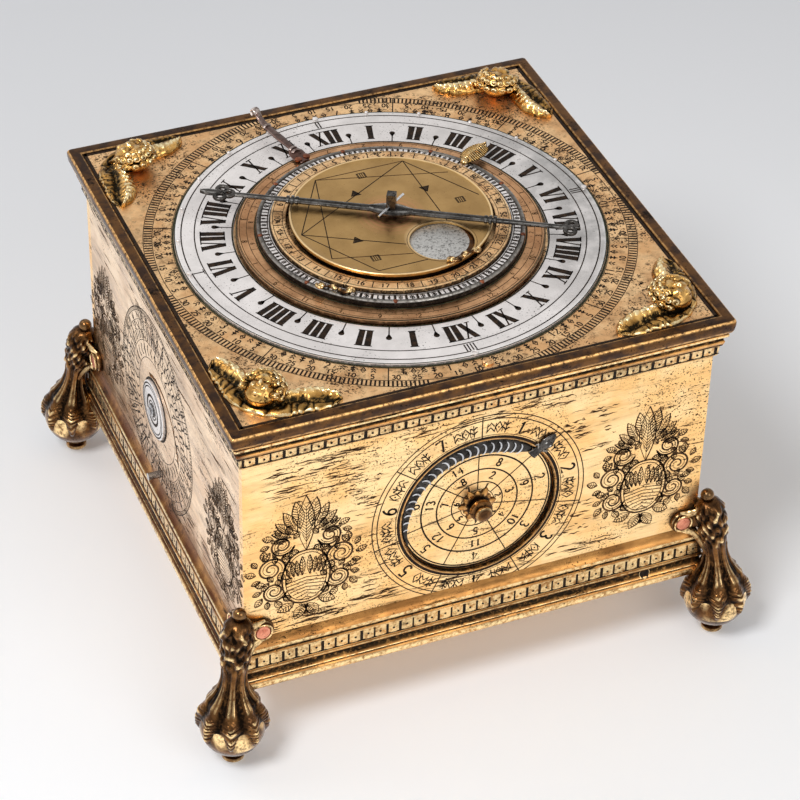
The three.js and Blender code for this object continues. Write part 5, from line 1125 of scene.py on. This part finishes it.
def serpent():
    """Crescent body along the rim: width grows from the tail over the top and narrows to the neck,
    its back arched, and the head points out at the day."""
    t = np.linspace(0, 1, 90)
    angle = np.radians(202 - 156 * t)
    width = np.interp(t, [0, 0.2, 0.45, 0.78, 0.93, 1], [0.8, 3.4, 5.0, 6.0, 5.0, 2.6])
    v = np.linspace(-1, 1, 13)[None, :]
    radius = 27.9 - width[:, None] * (v + 1) / 2
    scale = (t * 24) % 1
    arch = 81.4 + 0.5 + 0.9 * (1 - v ** 2) ** 0.6 * np.clip(width[:, None] / 4, 0.3, 1)
    z = arch + 0.16 * (scale[:, None] - 0.5)
    grid = np.stack([radius * np.cos(angle)[:, None], radius * np.sin(angle)[:, None], z], -1)
    form = Form().tube(with_underside(grid, 81.35), -0.5)
    head = smooth([(25.3, 0, 82.6), (28.6, 0, 83.1), (31.6, 0, 83.6), (34.4, 0, 83.5), (36.3, 0, 83.3)], 26)
    share = np.linspace(0, 1, 26)
    girth = np.interp(share, [0, 0.25, 0.55, 0.8, 1], [2.0, 1.5, 2.5, 1.6, 0.5])
    turn = turned_about(SERPENT_AT)
    form.join(Form().tube(along(head, girth, 14, 0.45), 0.2 * np.sin(share * 30)[:, None])
              .moved(turn))
    for aside in (-1, 1):
        form.join(Form().skin(blob((32.2, 1.05 * aside, 84.3), (0.55, 0.45, 0.4), 8), 1.0).moved(turn))
        horn = [(29.0, 1.2 * aside, 83.4), (30.0, 2.6 * aside, 83.6), (28.8, 3.3 * aside, 83.5)]
        form.join(Form().tube(along(horn, [0.5, 0.45, 0.15], 8), 0.4).moved(turn))
    piece("steel_serpent", form.moved(on_weekday_dial), "black_steel", stands_for=("weekday_serpent",))
    crescents = Cuts()
    for k in range(21):
        at = 0.1 + 0.041 * k
        wide = float(np.interp(at, t, width)) * 0.42
        middle = 27.9 - float(np.interp(at, t, width)) / 2
        turn_at = 202 - 156 * at
        s = np.radians(np.linspace(-75, 75, 9))
        local = np.stack([middle + wide * np.sin(s), -wide * 0.75 * np.cos(s)], -1)
        crescents.line(np.stack(spun(*local.T, turn_at), -1), 0.1 + 0.5 * np.cos(s) * min(1.0, wide))
    back = 83.015
    crescents.lay("bright_scales_of_the_serpent", on_top(back, on_weekday_dial), finishes["bright_steel"],
                  slot="bright_steel")


weekday()
serpent()


# Ornament cut in the panels
def spiral(cuts, x, y, radius, start, turns, width=0.3, side=1, shrink=0.8):
    """Line that winds in: its radius falls evenly while it turns."""
    t = np.linspace(0, 1, int(18 * turns) + 8)
    angle = np.radians(start) + side * t * turns * TAU
    r = radius * (1 - shrink * t)
    cuts.line(np.stack([x + r * np.cos(angle), y + r * np.sin(angle)], -1), width * (1 - 0.4 * t))


def leaf(cuts, x, y, length, degrees, wide=0.32, hatch=4):
    """Pointed leaf: two bowed edges that meet at the tip, a middle rib and slanting hatch."""
    t = np.linspace(0, 1, 10)
    bow = np.sin(t * math.pi) * wide * length
    turn = lambda a, b: np.stack(spun(a, b, degrees), -1) + (x, y)
    cuts.line(turn(t * length, bow), 0.3)
    cuts.line(turn(t * length, -bow), 0.5)
    cuts.line(turn(t * length * 0.8, 0 * t), 0.2)
    for k in range(hatch):
        at = 0.16 + 0.62 * k / max(hatch - 1, 1)
        reach = math.sin(at * math.pi) * wide * length
        cuts.line(turn(np.array([at * length, (at + 0.14) * length]), np.array([0, reach * 0.9])), 0.2)
        cuts.line(turn(np.array([at * length, (at + 0.1) * length]), np.array([0, -reach * 0.9])), 0.34)


def cartouche(cuts, x, y, grow=1.0):
    """Hatched oval field in a strapwork border, between scrolled leaves that fall over in three tiers,
    with a plume of long leaves above and a tassel below."""
    half = Cuts()
    for k, (out, rise, size, side) in enumerate(((11.5, 10.5, 4.6, 1), (12.6, 20.5, 5.4, -1), (8.6, 30.0, 4.6, 1))):
        spiral(half, out, rise, size, 200, 1.8, 0.85, side, 0.86)
        spiral(half, out, rise, size * 0.78, 200, 1.3, 0.3, side)
        for j in range(9):
            angle = 200 + side * (30 + 36 * j)
            at = polar(size, angle) + (out, rise)
            leaf(half, at[0], at[1], 3.4 + 0.8 * (j % 2), angle - side * 30, 0.3, 4)
        half.line(smooth([(5.0, rise - 6), (out * 0.7, rise - 5), (out - size, rise - 1)], 12), 0.5)
    for k in range(5):
        leaf(half, 2.0 + 1.1 * k, 35.5 - 0.9 * k, 12.5 - 1.6 * k, 82 - 19 * k, 0.17, 8)
    t = np.radians(np.linspace(-90, 90, 26))
    for wide, tall, width in ((8.6, 11.6, 0.7), (7.4, 10.4, 0.34)):
        half.line(np.stack([wide * np.cos(t) ** 0.8, 14 + tall * np.sin(t)], -1), width)
    for k in range(7):
        reach = 7.2 * math.cos(math.radians(12 * k))
        half.line([(0, 13.6 - 1.45 * k), (reach, 12.4 - 1.45 * k)], 0.34)
    for k in range(4):
        leaf(half, 1.3 + 1.5 * k, 14.8, 8.4 - 1.3 * k, 90 - 5 * k, 0.12, 5)
    leaf(half, 0.5, 1.6, 7.0, -58, 0.3, 6)
    leaf(half, 4.4, 3.0, 6.4, -20, 0.3, 5)
    put = lambda p: p * grow + (x, y)
    cuts.join(half, put)
    cuts.join(half, lambda p: p * (-grow, grow) + (x, y), flip=True)
    leaf(cuts, x, y + 25.5 * grow, 24 * grow, 90, 0.13, 12)
    for rise in (-2.2, 0.4):
        cuts.dot((x, y + rise), 0.9)


def smears(side, zones, seed):
    """Groups of dark drawn-out smears in the gilding: short tapering level strokes, scattered evenly
    over each zone with a fixed seed and drawn in, so that none reaches past the wall's edges. They
    lie under the other cut lines."""
    chance, cuts = np.random.default_rng(seed), Cuts()
    for low_x, high_x, low_z, high_z, count, length in zones:
        for _ in range(count):
            x, z = chance.uniform(low_x, high_x), chance.uniform(low_z, high_z)
            reach, wide = length * chance.uniform(0.2, 1.0), chance.uniform(0.15, 0.75)
            bend = chance.uniform(-0.3, 0.3, 5)
            x *= (82.3 - reach / 2) / 85
            cuts.line(np.column_stack([x + np.linspace(-0.5, 0.5, 5) * reach, z + bend]),
                      np.array([0.05, 0.8, 1.0, 0.6, 0.05]) * wide)
    under = on_wall(side, lambda p: np.full(len(p), CUT * 0.7))
    cuts.lay(f"dark_smears_{side}", under, stain_dirt, slot="gilt")


def front_engraving():
    """Double ring round the weekday opening with seven numbered fields, a cartouche at either side."""
    cuts = Cuts()
    centre = (0, WEEKDAY_Z)
    # The wide ring at 29.5 mm round the opening is painted shade of the weekday disc's recess.
    cuts.rings(((37.2, 0.4), (39.0, 0.38), (29.5, 1.0), (30.5, 0.24)), centre)
    cuts.rays(np.arange(7) * 360 / 7 + 90, 29.9, 38.9, 0.42, centre)
    for k in range(7):
        middle = 90 - (k + 0.5) * 360 / 7
        cuts.number(k + 1, polar(33.6, middle) + centre, middle - 90, 5.0, 0.85)
        for j, step in enumerate((-20.5, -15.5, -10.5, 10.5, 15.5, 20.5)):
            at = polar(33.6, middle + step) + centre
            sprig(cuts, at, middle + step - 90, 5.0, j + k)
            cuts.line(np.stack([polar(31.6, middle + step + 2.4), polar(35.4, middle + step + 2.0)]) + centre, 0.3)
    cuts.lay("numbered_ring_front", on_wall("front"))
    cuts = Cuts()
    cartouche(cuts, -62.5, 53.5)
    cartouche(cuts, 62.5, 55.5)
    cuts.lay("cut_ornament_front", on_wall("front"), brown_ink)
    smears("front", [
        (-82, -44, 103, 118, 70, 11), (-50, -38, 84, 106, 34, 6), (-30, 34, 115.5, 119.5, 40, 10),
        (38, 52, 92, 112, 36, 7), (-80, -30, 46.5, 52, 46, 12), (-28, 60, 46.5, 51, 40, 12),
        (22, 40, 96, 108, 20, 5), (66, 84, 60, 112, 26, 6), (-44, -32, 50, 66, 24, 6), (34, 46, 54, 70, 24, 6)], 4)


def side_engraving(side):
    """Cartouches at either side of a ringed field of leaves and spirals."""
    cuts = Cuts()
    for way in (-1, 1):
        cartouche(cuts, way * 61.0, 54.0)
    centre = (0, 79)
    cuts.rings(((36.5, 0.4), (34.8, 0.3), (22.0, 0.34), (12.0, 0.34)), centre)
    for k in range(12):
        leaf(cuts, *(polar(12.0, 30 * k) + centre), 9.0, 30 * k, 0.26, 5)
        spiral(cuts, *(polar(28.2, 30 * k + 15) + centre), 4.6, 30 * k, 1.5, 0.44)
    cuts.lay(f"cut_ornament_{side}", on_wall(side), brown_ink)
    zones = [(-80, 80, 108, 118, 80, 11), (-80, 80, 46.5, 52, 60, 12), (-84, 84, 52, 108, 90, 7)]
    smears(side, zones, len(side))


def left_engraving():
    """Setting dial: rings of marks and numbers round the silvered disc, a cartouche at either side."""
    cuts = Cuts()
    centre = (-6.5, 77.5)
    cuts.rings(((37.8, 0.34), (36.4, 0.2), (33.2, 0.22), (29.6, 0.22), (25.8, 0.22), (19.5, 0.26)), centre)
    cuts.rays(np.arange(180) * 2, 36.4, 37.8, 0.3, centre)
    cuts.rays(np.arange(12) * 30, 19.5, 36.4, 0.28, centre)
    for k in range(72):
        cuts.rays([5 * k + 2.5], 26.3, 29.2, 0.9 if k % 2 else 0.45, centre)
    for k in range(36):
        angle = 10 * k + 5
        cuts.number(k % 12 + 1, polar(31.4, angle) + centre, angle - 90, 2.7, 0.55)
        cuts.number((5 * k) % 30 + 1, polar(34.8, angle) + centre, angle - 90, 2.3, 0.5)
    for k in range(36):
        cuts.line(np.stack([polar(20.6, 10 * k), polar(22.4, 10 * k + 3), polar(24.6, 10 * k)]) + centre, 0.6)
    # A dark ring round the silvered disc: painted shade of its recess.
    cuts.rings([(11.6, 0.9)], (-SETTING_Y, SETTING_Z))
    cuts.lay("setting_dial_left", on_wall("left"))
    cuts = Cuts()
    for way in (-1, 1):
        cartouche(cuts, way * 63.5, 54.0, 0.95)
    cuts.lay("cut_ornament_left", on_wall("left"), pale_ink)
    smears("left", [(-84, 84, 98, 119, 44, 16), (-84, 84, 46.5, 58, 70, 16), (44, 84, 60, 100, 24, 16),
                    (-84, -46, 60, 96, 20, 14)], 9)


def setting_disc():
    """Silvered disc with cut rings and a small stud, before the left side."""
    face = lathe([(0, 84.9), (11.05, 84.9), (11.05, 85.75), (10.7, 86.0), (0, 86.0)], 64, rub=[0, -0.6, 0.3, 0.4, 0])
    piece("silvered_setting_disc", face.moved(on_setting_dial), "silvered", "setting", ("setting_disc",))
    cuts = Cuts()
    cuts.rings(((10.2, 0.55), (9.0, 0.45), (5.6, 1.1), (3.6, 0.5), (2.5, 0.5)))
    cuts.lay("setting_disc_rings", on_top(SETTING_FACE, on_setting_dial), ink_and_painted_shade, "setting", "silvered")
    stud = lathe([(0, 85.9), (2.2, 85.9), (2.2, 86.6), (1.5, 86.9), (1.5, 87.4), (0, 87.5)], 28)
    piece("stud_of_the_setting_disc", stud.moved(on_setting_dial), "bright_steel", "setting")


front_engraving()
side_engraving("back")
side_engraving("right")
left_engraving()
setting_disc()


# Claw feet
TOES = 8
BALL_OUT, BALL_Z, BALL_R = 7.2 * math.sqrt(2), 15.6, 11.4


def at_corner(p):
    """Out along the corner's diagonal and aside of it, turned into the clock's own X and Y."""
    x, y = spun(p[:, 0], p[:, 1], 45)
    return np.column_stack([BODY_X + x, BODY_Y + y, p[:, 2]])


def near_toe(angle):
    """One over each of eight toes, nothing half way between them: a cosine wave."""
    return 0.5 + 0.5 * np.cos(TOES * (angle - math.pi / TOES))


def leg_rows(angle):
    """Leg round its bent middle line, from the knee down: the radius follows a curve, and flutes that
    grow downwards run on into the toes. The knee carries leaves cast in relief, a warped wave."""
    run = smooth([(0.3, 58.7), (2.7, 58.3), (4.5, 56.6), (5.3, 53.4), (5.5, 49.5), (5.2, 45.5), (4.7, 41.5),
                  (4.3, 38.0), (4.4, 35.0), (5.2, 32.0), (6.6, 29.4), (8.5, 26.9)], 110)
    z = run[:, 1:]
    middle = np.interp(z, [26, 34, 42, 49, 56, 59], [10.1, 8.9, 7.2, 5.8, 4.7, 4.2])
    deep = np.interp(z, [26, 31, 36, 40, 44], [0.95, 0.85, 0.6, 0.42, 0.0])
    flutes = deep * (near_toe(angle) ** 0.8 - 0.5) + 0.2 * deep * np.cos(3 * TOES * angle)
    knee = np.interp(z, [39, 43, 55, 58], [0, 1, 1, 0])
    side = np.abs((angle + math.pi) % TAU - math.pi)
    leaves = 0.26 * np.sin(6 * side + 1.1 * z) + 0.24 * np.sin(1.5 * z - 3.2 * side ** 2 + 0.6) \
        + 0.2 * np.cos(15 * side + 2.2 * np.sin(0.7 * z))
    lobes = 0.35 * np.cos(4 * side) * np.cos((z - 48) * 0.5)
    bumps = flutes + knee * (leaves + lobes)
    r = np.maximum(run[:, :1] + bumps, 0.15)
    return np.stack([middle + r * np.cos(angle), r * np.sin(angle), z + 0 * angle], -1), bumps * 2.0 - 0.4


def toe_rows(angle):
    """Toes and web over the ball: distance from the ball's middle by the angle down from the top.
    Slanting folds cross each toe, which narrows to a claw that sinks into the ball."""
    down = np.linspace(44, 107, 100)[:, None]
    toe = np.interp(down, [44, 58, 72, 84, 94, 102, 107], [2.1, 1.9, 1.6, 1.4, 1.0, 0.4, -0.8])
    web = np.interp(down, [44, 52, 60, 67, 73, 107], [1.0, 0.9, 0.6, 0.2, -0.5, -0.8])
    near = near_toe(angle) ** np.interp(down, [44, 60, 76, 94, 107], [0.8, 0.9, 1.8, 5.0, 9.0])
    aside = np.abs((angle % (TAU / TOES)) / (TAU / TOES) - 0.5) * 2
    folds = np.abs(np.sin(math.pi * (down / 7.4 + 1.3 * aside + 0.5 * np.sin(3 * angle + down * 0.11)))) ** 0.7 - 0.55
    knots = 0.65 + 0.5 * np.sin(5 * angle + down * 0.23) * np.cos(2 * angle - down * 0.17)
    folds = folds * knots * near ** 0.5 * np.interp(down, [50, 57, 90, 99], [0, 1, 1, 0])
    pits = np.cos(down * 0.9) * np.cos(4 * TOES * angle) * np.interp(down, [44, 50, 60], [0.0, 0.12, 0])
    out = BALL_R + web + (toe - web) * near + 0.75 * folds + pits
    fall = np.radians(down)
    grid = np.stack([BALL_OUT + out * np.sin(fall) * np.cos(angle), out * np.sin(fall) * np.sin(angle),
                     BALL_Z + out * np.cos(fall) + 0 * angle], -1)
    return grid, 2.4 * folds + 1.1 * near - 1.1


def foot_form():
    """One skin from the knee to the claws, with the ball, its pad and the bud on the knee."""
    rise, angle = round_ball(60, 144)
    (upper, upper_wear_and_painted_light), (lower, lower_wear_and_painted_light) = leg_rows(angle), toe_rows(angle)
    form = Form().tube(np.concatenate([upper, lower]), np.clip(np.concatenate([upper_wear_and_painted_light, lower_wear_and_painted_light]), -1, 1))
    # Wear and painted light on the ball: brighter above, darker below and under the toes.
    patches = 0.5 * np.sin(3 * angle + 4 * rise) - 0.7 * near_toe(angle)
    worn_and_painted_light = np.where(rise > -0.36, 0.7 + patches, -0.2 + 0.3 * np.sin(5 * angle))
    form.skin(np.array([BALL_OUT, 0, BALL_Z]) + directions(rise, angle) * BALL_R, worn_and_painted_light)
    form.join(lathe([(0, 0), (3.4, 0), (4.0, 0.7), (3.9, 1.9), (3.1, 2.4), (3.6, 3.2), (4.1, 4.4), (4.0, 6.0),
                     (0, 6.0)], 28, (BALL_OUT, 0), [0.2, 0.3, 0.6, 0.2, -0.6, 0.1, 0.3, 0, 0]))
    form.skin(blob((3.4, 0, 60.0), (2.45, 2.45, 2.45), 16), 0.2)
    form.join(lathe([(0, 56.6), (2.7, 56.6), (3.0, 57.4), (2.2, 58.2), (0, 58.2)], 20, (3.6, 0),
                    [0, 0, 0.6, -0.9, -1]))
    return form.moved(at_corner)


def ears():
    """On each wall a round boss that holds a copper rivet, and two straps that run from above and
    below it round the knee."""
    form, rivets = Form(), Form()
    eye = [(0, 0.2), (4.35, 0.2), (4.4, 1.1), (4.15, 1.7), (3.75, 1.95), (3.6, 2.6), (3.3, 2.8), (2.9, 2.6),
           (2.75, 2.1), (0, 2.0)]
    eye_wear_and_painted_light = [0, -0.8, 0.1, 0.4, -0.8, 0.8, 1, 0.9, -0.8, -0.8]
    rivet = [(0, 1.6), (2.72, 1.6), (2.72, 2.3), (2.4, 2.65), (1.3, 2.8), (0, 2.75)]
    for swap in (False, True):
        fixed = (BODY_X - 6, BODY_Y) if not swap else (BODY_Y - 6, BODY_X)

        def stand(p, swap=swap, fixed=fixed):
            q = np.column_stack([fixed[0] + p[:, 0], fixed[1] + p[:, 2], 49 + p[:, 1]])
            return q[:, [1, 0, 2]] if swap else q
        form.join(lathe(eye, 40, rub=eye_wear_and_painted_light).moved(stand))
        rivets.join(lathe(rivet, 28, rub=[0, -0.8, -0.4, 0.4, 0, 0]).moved(stand))
        share = np.linspace(0, 1, 22)
        for way in ([(-1.5, -3.5, 1.0), (1.5, -3.9, 1.8), (4.4, -5.4, 2.6), (7.0, -9.0, 4.6), (8.6, -13.0, 6.2)],
                    [(-1.0, 3.7, 1.0), (2.0, 3.7, 1.8), (4.4, 4.4, 2.6), (6.4, 5.6, 3.6), (7.6, 7.4, 4.4)]):
            band = along(smooth(way, 22), np.interp(share, [0, 0.3, 1], [0.9, 1.5, 1.2]), 12, 0.7, (0, 0, 1))
            form.join(Form().tube(band, np.linspace(0.9, 0.1, 22)[:, None]).moved(stand))
        bar = along(smooth([(1.0, 0, 1.0), (4.2, 0.2, 1.4), (7.2, 0.4, 3.0), (9.0, 0.2, 4.6)], 16),
                    np.interp(np.linspace(0, 1, 16), [0, 0.5, 1], [3.4, 3.2, 3.6]), 14, 0.34, (0, 0.2, 1))
        form.join(Form().tube(bar, np.linspace(0.1, -0.6, 16)[:, None]).moved(stand))
    return form, rivets


def claw_feet():
    """One foot, mirrored to the four corners."""
    foot, (straps, rivets) = foot_form(), ears()
    foot.join(straps)
    for side, sx in (("left", -1), ("right", 1)):
        for end, sy in (("front", -1), ("back", 1)):
            def mirrored(p, signs=(sx, sy, 1)):
                return p * signs
            piece(f"claw_foot_{end}_{side}", foot.moved(mirrored), "foot_bronze", stands_for=(f"foot_{end}_{side}",))
            piece(f"ear_rivets_{end}_{side}", rivets.moved(mirrored), "copper_red")


claw_feet()


# Winged heads in the corners of the dial
def head_form():
    """Round child's head lying on its back. The skull is a ball; cheeks, brow, nose, lips and chin
    are soft rises added to its radius and the eyes soft dips, each a bell curve of the direction.
    Curls lie round it in three arcs, each a small spiral over a lump. The face looks up (local Z),
    the crown points to local Y."""
    unit = directions(*round_ball(44, 80))
    x, y = unit[..., 0], unit[..., 1]
    up = unit[..., 2] > 0

    def bell(cx, cy, wide, tall):
        return np.exp(-((x - cx) / wide) ** 2 - ((y - cy) / tall) ** 2) * up

    def both(cx, cy, wide, tall):
        return bell(cx, cy, wide, tall) + bell(-cx, cy, wide, tall)
    face = (0.10 * both(0.36, -0.22, 0.2, 0.2) + 0.17 * bell(0, -0.06, 0.09, 0.16)
            + 0.1 * bell(0, 0.42, 0.42, 0.2) + 0.09 * bell(0, -0.4, 0.2, 0.06) + 0.1 * bell(0, -0.62, 0.2, 0.12)
            - 0.11 * both(0.27, 0.1, 0.12, 0.08))
    eyes = 0.05 * both(0.27, 0.08, 0.07, 0.04)
    skull = (4.5, 5.3, 4.8)
    grid = unit * (1 + 1.7 * face + 1.4 * eyes)[..., None] * skull
    form = Form().skin(grid, np.clip((face + eyes) * 7 - 0.2, -0.9, 1))
    spots = [(4.8, k) for k in np.arange(-22, 203, 20)] + [(5.4, k) for k in np.arange(-10, 191, 22.5)] + \
            [(3.7, k) for k in np.arange(18, 163, 24)]
    for n, (out, degrees) in enumerate(spots):
        low = out > 5.2
        flat = polar(out, degrees)
        height = (0.4 if low else 2.6) if out > 4 else 3.9
        turn = 1 if n % 2 else -1
        s = np.linspace(0, 1, 16)
        r = 1.1 * (1 - 0.75 * s)
        a = math.radians(degrees) + turn * s * TAU * 1.25
        outward = np.array([flat[0], flat[1], 1.6 if not low else 0.2])
        outward /= np.linalg.norm(outward)
        side = np.cross(outward, (0, 0, 1.0))
        side /= np.linalg.norm(side)
        top = np.cross(side, outward)
        centre = np.array([flat[0] * 0.98, flat[1] * 1.05, height])
        path = centre + r[:, None] * (np.cos(a)[:, None] * side + np.sin(a)[:, None] * top) \
            + outward * (0.2 + 0.6 * s)[:, None]
        form.tube(along(path, 0.52 - 0.16 * s, 8, 1.0, outward), (0.9 * s)[:, None])
        form.skin(blob(centre - 0.2 * outward, (1.3, 1.3, 1.15), 7), -0.6)
    return form


def wing_form():
    """Wing bowed along the edge of the dial: s runs from its tip to the corner behind the head, t across
    from the inner edge to the outer. A roll runs along the inner half, with small scales; long feathers
    slant over the outer half and notch its rim."""
    s = np.linspace(0, 1, 150)[:, None]
    t = np.linspace(-1, 1, 44)[None, :]
    spine = smooth([(82.4, 47.0), (81.2, 50.5), (79.7, 56), (79.2, 62), (78.8, 68), (77.2, 73.0), (74.4, 76.6)], 150)
    ahead = heading(spine)
    aside = np.stack([ahead[:, 1], -ahead[:, 0]], -1)
    half = np.interp(s, [0, 0.04, 0.14, 0.3, 0.6, 0.8, 1], [0.12, 1.6, 3.8, 5.7, 5.9, 4.6, 2.7])
    slant = s * 9 - t * 1.1 + 0.5 * np.sin(s * 13) + 0.25 * np.sin(s * 31 + 2 * t)
    half = half * (1 - 0.09 * np.abs(np.sin(math.pi * slant)) * np.clip((t - 0.4) * 2, 0, 1))
    flat = spine[:, None] + aside[:, None] * (half * t)[..., None]
    quills = np.abs(np.sin(math.pi * slant)) ** 0.55
    row = s * 17 + 1.1 * np.abs(t + 0.35) + 0.4 * np.sin(5 * t + 9 * s)
    level = np.floor(row)
    scales = np.abs(np.cos((t * 3.3 + level * 0.5) * math.pi)) ** 0.6 * (1 - (row - level) * 0.9)
    share = 1 / (1 + np.exp(-(t + 0.05 - 0.5 * (s - 0.5)) * 12))
    detail = 0.7 * quills * share + 0.62 * scales * (1 - share) - 0.36
    arch = np.interp(s, [0, 0.08, 0.3, 0.55, 0.75, 1], [0.5, 1.6, 2.6, 3.2, 2.0, 2.4]) * (1 - np.abs(t) ** 3) ** 0.45
    arch = arch * (1 - 0.4 * share)
    swell = 1.0 * np.exp(-((t + 0.48) / 0.3) ** 2) - 0.85 * np.exp(-((t - 0.2 - 0.2 * np.sin(s * 8)) / 0.22) ** 2)
    z = PLATE_TOP + 0.15 + arch + (detail + swell) * (1 - t ** 8) * np.clip(arch, 0, 1)
    grid = with_underside(np.concatenate([flat, z[..., None]], -1), PLATE_TOP + 0.05)
    rub = np.clip(detail * 1.7 + swell * 1.3 - 0.2 - 0.75 * share + 1.3 * (t > 0.88), -1, 1)
    return Form().tube(grid, np.concatenate([rub, rub * 0 - 1.0], 1))


def winged_heads():
    """Head and two wings, made once for the front and once for the back and mirrored. The back heads
    lie a little nearer to the dial."""
    head, wing = head_form(), wing_form()
    other_wing = wing.moved(lambda p: np.column_stack([p[:, 1] + 2, p[:, 0] - 2, p[:, 2]]))
    grown, tilt, lift = 1.3, 12, 4.0
    for end, sy, spot in (("front", -1, (73.2, 71.4)), ("back", 1, (70.6, 69.6))):
        def set_head(p, spot=spot):
            """Crown towards the middle of the dial, the face tipped a little to the corner."""
            y, z = spun(p[:, 1], p[:, 2], tilt)
            flat = np.column_stack(spun(p[:, 0], y, 135)) * grown + spot
            return np.column_stack([flat, PLATE_TOP + lift + 0.98 * z])
        whole = head.moved(set_head).join(wing).join(other_wing)
        for side, sx in (("left", -1), ("right", 1)):
            piece(f"winged_head_{end}_{side}", whole.moved(lambda p, mirror=(sx, sy, 1): p * mirror), "cast_gilt",
                  stands_for=(f"cherub_{end}_{side}",), crease=60)


winged_heads()


# Finishes of the solids that stay
def dress_solids():
    """Solids that no piece stands for keep their shape and get the finish of their metal."""
    plain = {"front_panel": "gilt", "back_panel": "gilt", "right_panel": "gilt", "left_panel": "pale_gilt",
             "bottom_cover": "gilt", "dial_plate": "dial_gilt", "centre_arbor": "black_steel",
             "weekday_arbor": "dark_bronze", "push_pin": "bright_steel", "verge": "bright_steel",
             "barrel_arbor": "bright_steel", "mainspring": "bright_steel", "idler_pinion": "bright_steel"}
    for name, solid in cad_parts.items():
        kind = plain.get(name) or ("bright_steel" if "screw" in name else "movement_brass")
        solid.data.materials.clear()
        solid.data.materials.append(finishes[kind])


dress_solids()


# Floor and light
def studio():
    """Pale floor that fades to grey behind the clock, large soft lamps, and an even pale world. Floor
    and world are set apart for what the camera sees and what the metal mirrors."""
    mesh = bpy.data.meshes.new("floor")
    mesh.from_pydata([(-6, -6, 0), (6, -6, 0), (6, 6, 0), (-6, 6, 0)], [], [(0, 1, 2, 3)])
    floor = new_object("floor", mesh)
    seen_glow, mirrored_glow = 0.12, 0.44
    world_light, mirrored_world = 0.36, 0.76
    r = Recipe("pale_floor")
    axes = r.axes()
    ahead = r.nodes.new("ShaderNodeMath")
    ahead.operation = "MULTIPLY_ADD"
    for at, value in enumerate((axes["X"], 0.12, axes["Y"])):
        r.feed(ahead.inputs[at], value)
    colour = r.blend(r.ramp(ahead.outputs[0], -0.14, 0.4), tone(243, 244, 246), tone(218, 219, 222))
    r.shader.inputs["Specular IOR Level"].default_value = 0.2
    ray = r.add("ShaderNodeLightPath", {}).outputs
    glow = r.plus(r.times(ray["Is Camera Ray"], seen_glow), r.times(ray["Is Glossy Ray"], mirrored_glow))
    r.feed(r.shader.inputs["Emission Color"], colour)
    r.feed(r.shader.inputs["Emission Strength"], glow)
    mesh.materials.append(r.surface(colour, 0.85))
    world = bpy.data.worlds.new("studio")
    bpy.context.scene.world = world
    world.use_nodes = True
    nodes, links = world.node_tree.nodes, world.node_tree.links
    backdrop = nodes["Background"]
    backdrop.inputs["Color"].default_value = (1, 1, 1, 1)
    level = nodes.new("ShaderNodeMapRange")
    level.inputs["To Min"].default_value = world_light
    level.inputs["To Max"].default_value = mirrored_world
    links.new(nodes.new("ShaderNodeLightPath").outputs["Is Glossy Ray"], level.inputs["Value"])
    links.new(level.outputs["Result"], backdrop.inputs["Strength"])
    lamps = [("key", (-0.72, -0.42, 1.2), 0.5, 10.5), ("fill", (0.3, -1.15, 0.8), 0.8, 3.4),
             ("back", (-0.9, 0.9, 1.2), 0.9, 3.2)]
    aim = Vector((0, 0, 0.08))
    for name, place, size, power in lamps:
        lamp = bpy.data.lights.new(name, "AREA")
        lamp.shape, lamp.size, lamp.energy = "DISK", size, power
        holder = new_object(name, lamp)
        holder.location = place
        holder.rotation_euler = (aim - Vector(place)).to_track_quat("-Z", "Y").to_euler()


studio()
bpy.context.scene.view_settings.view_transform = "Standard"
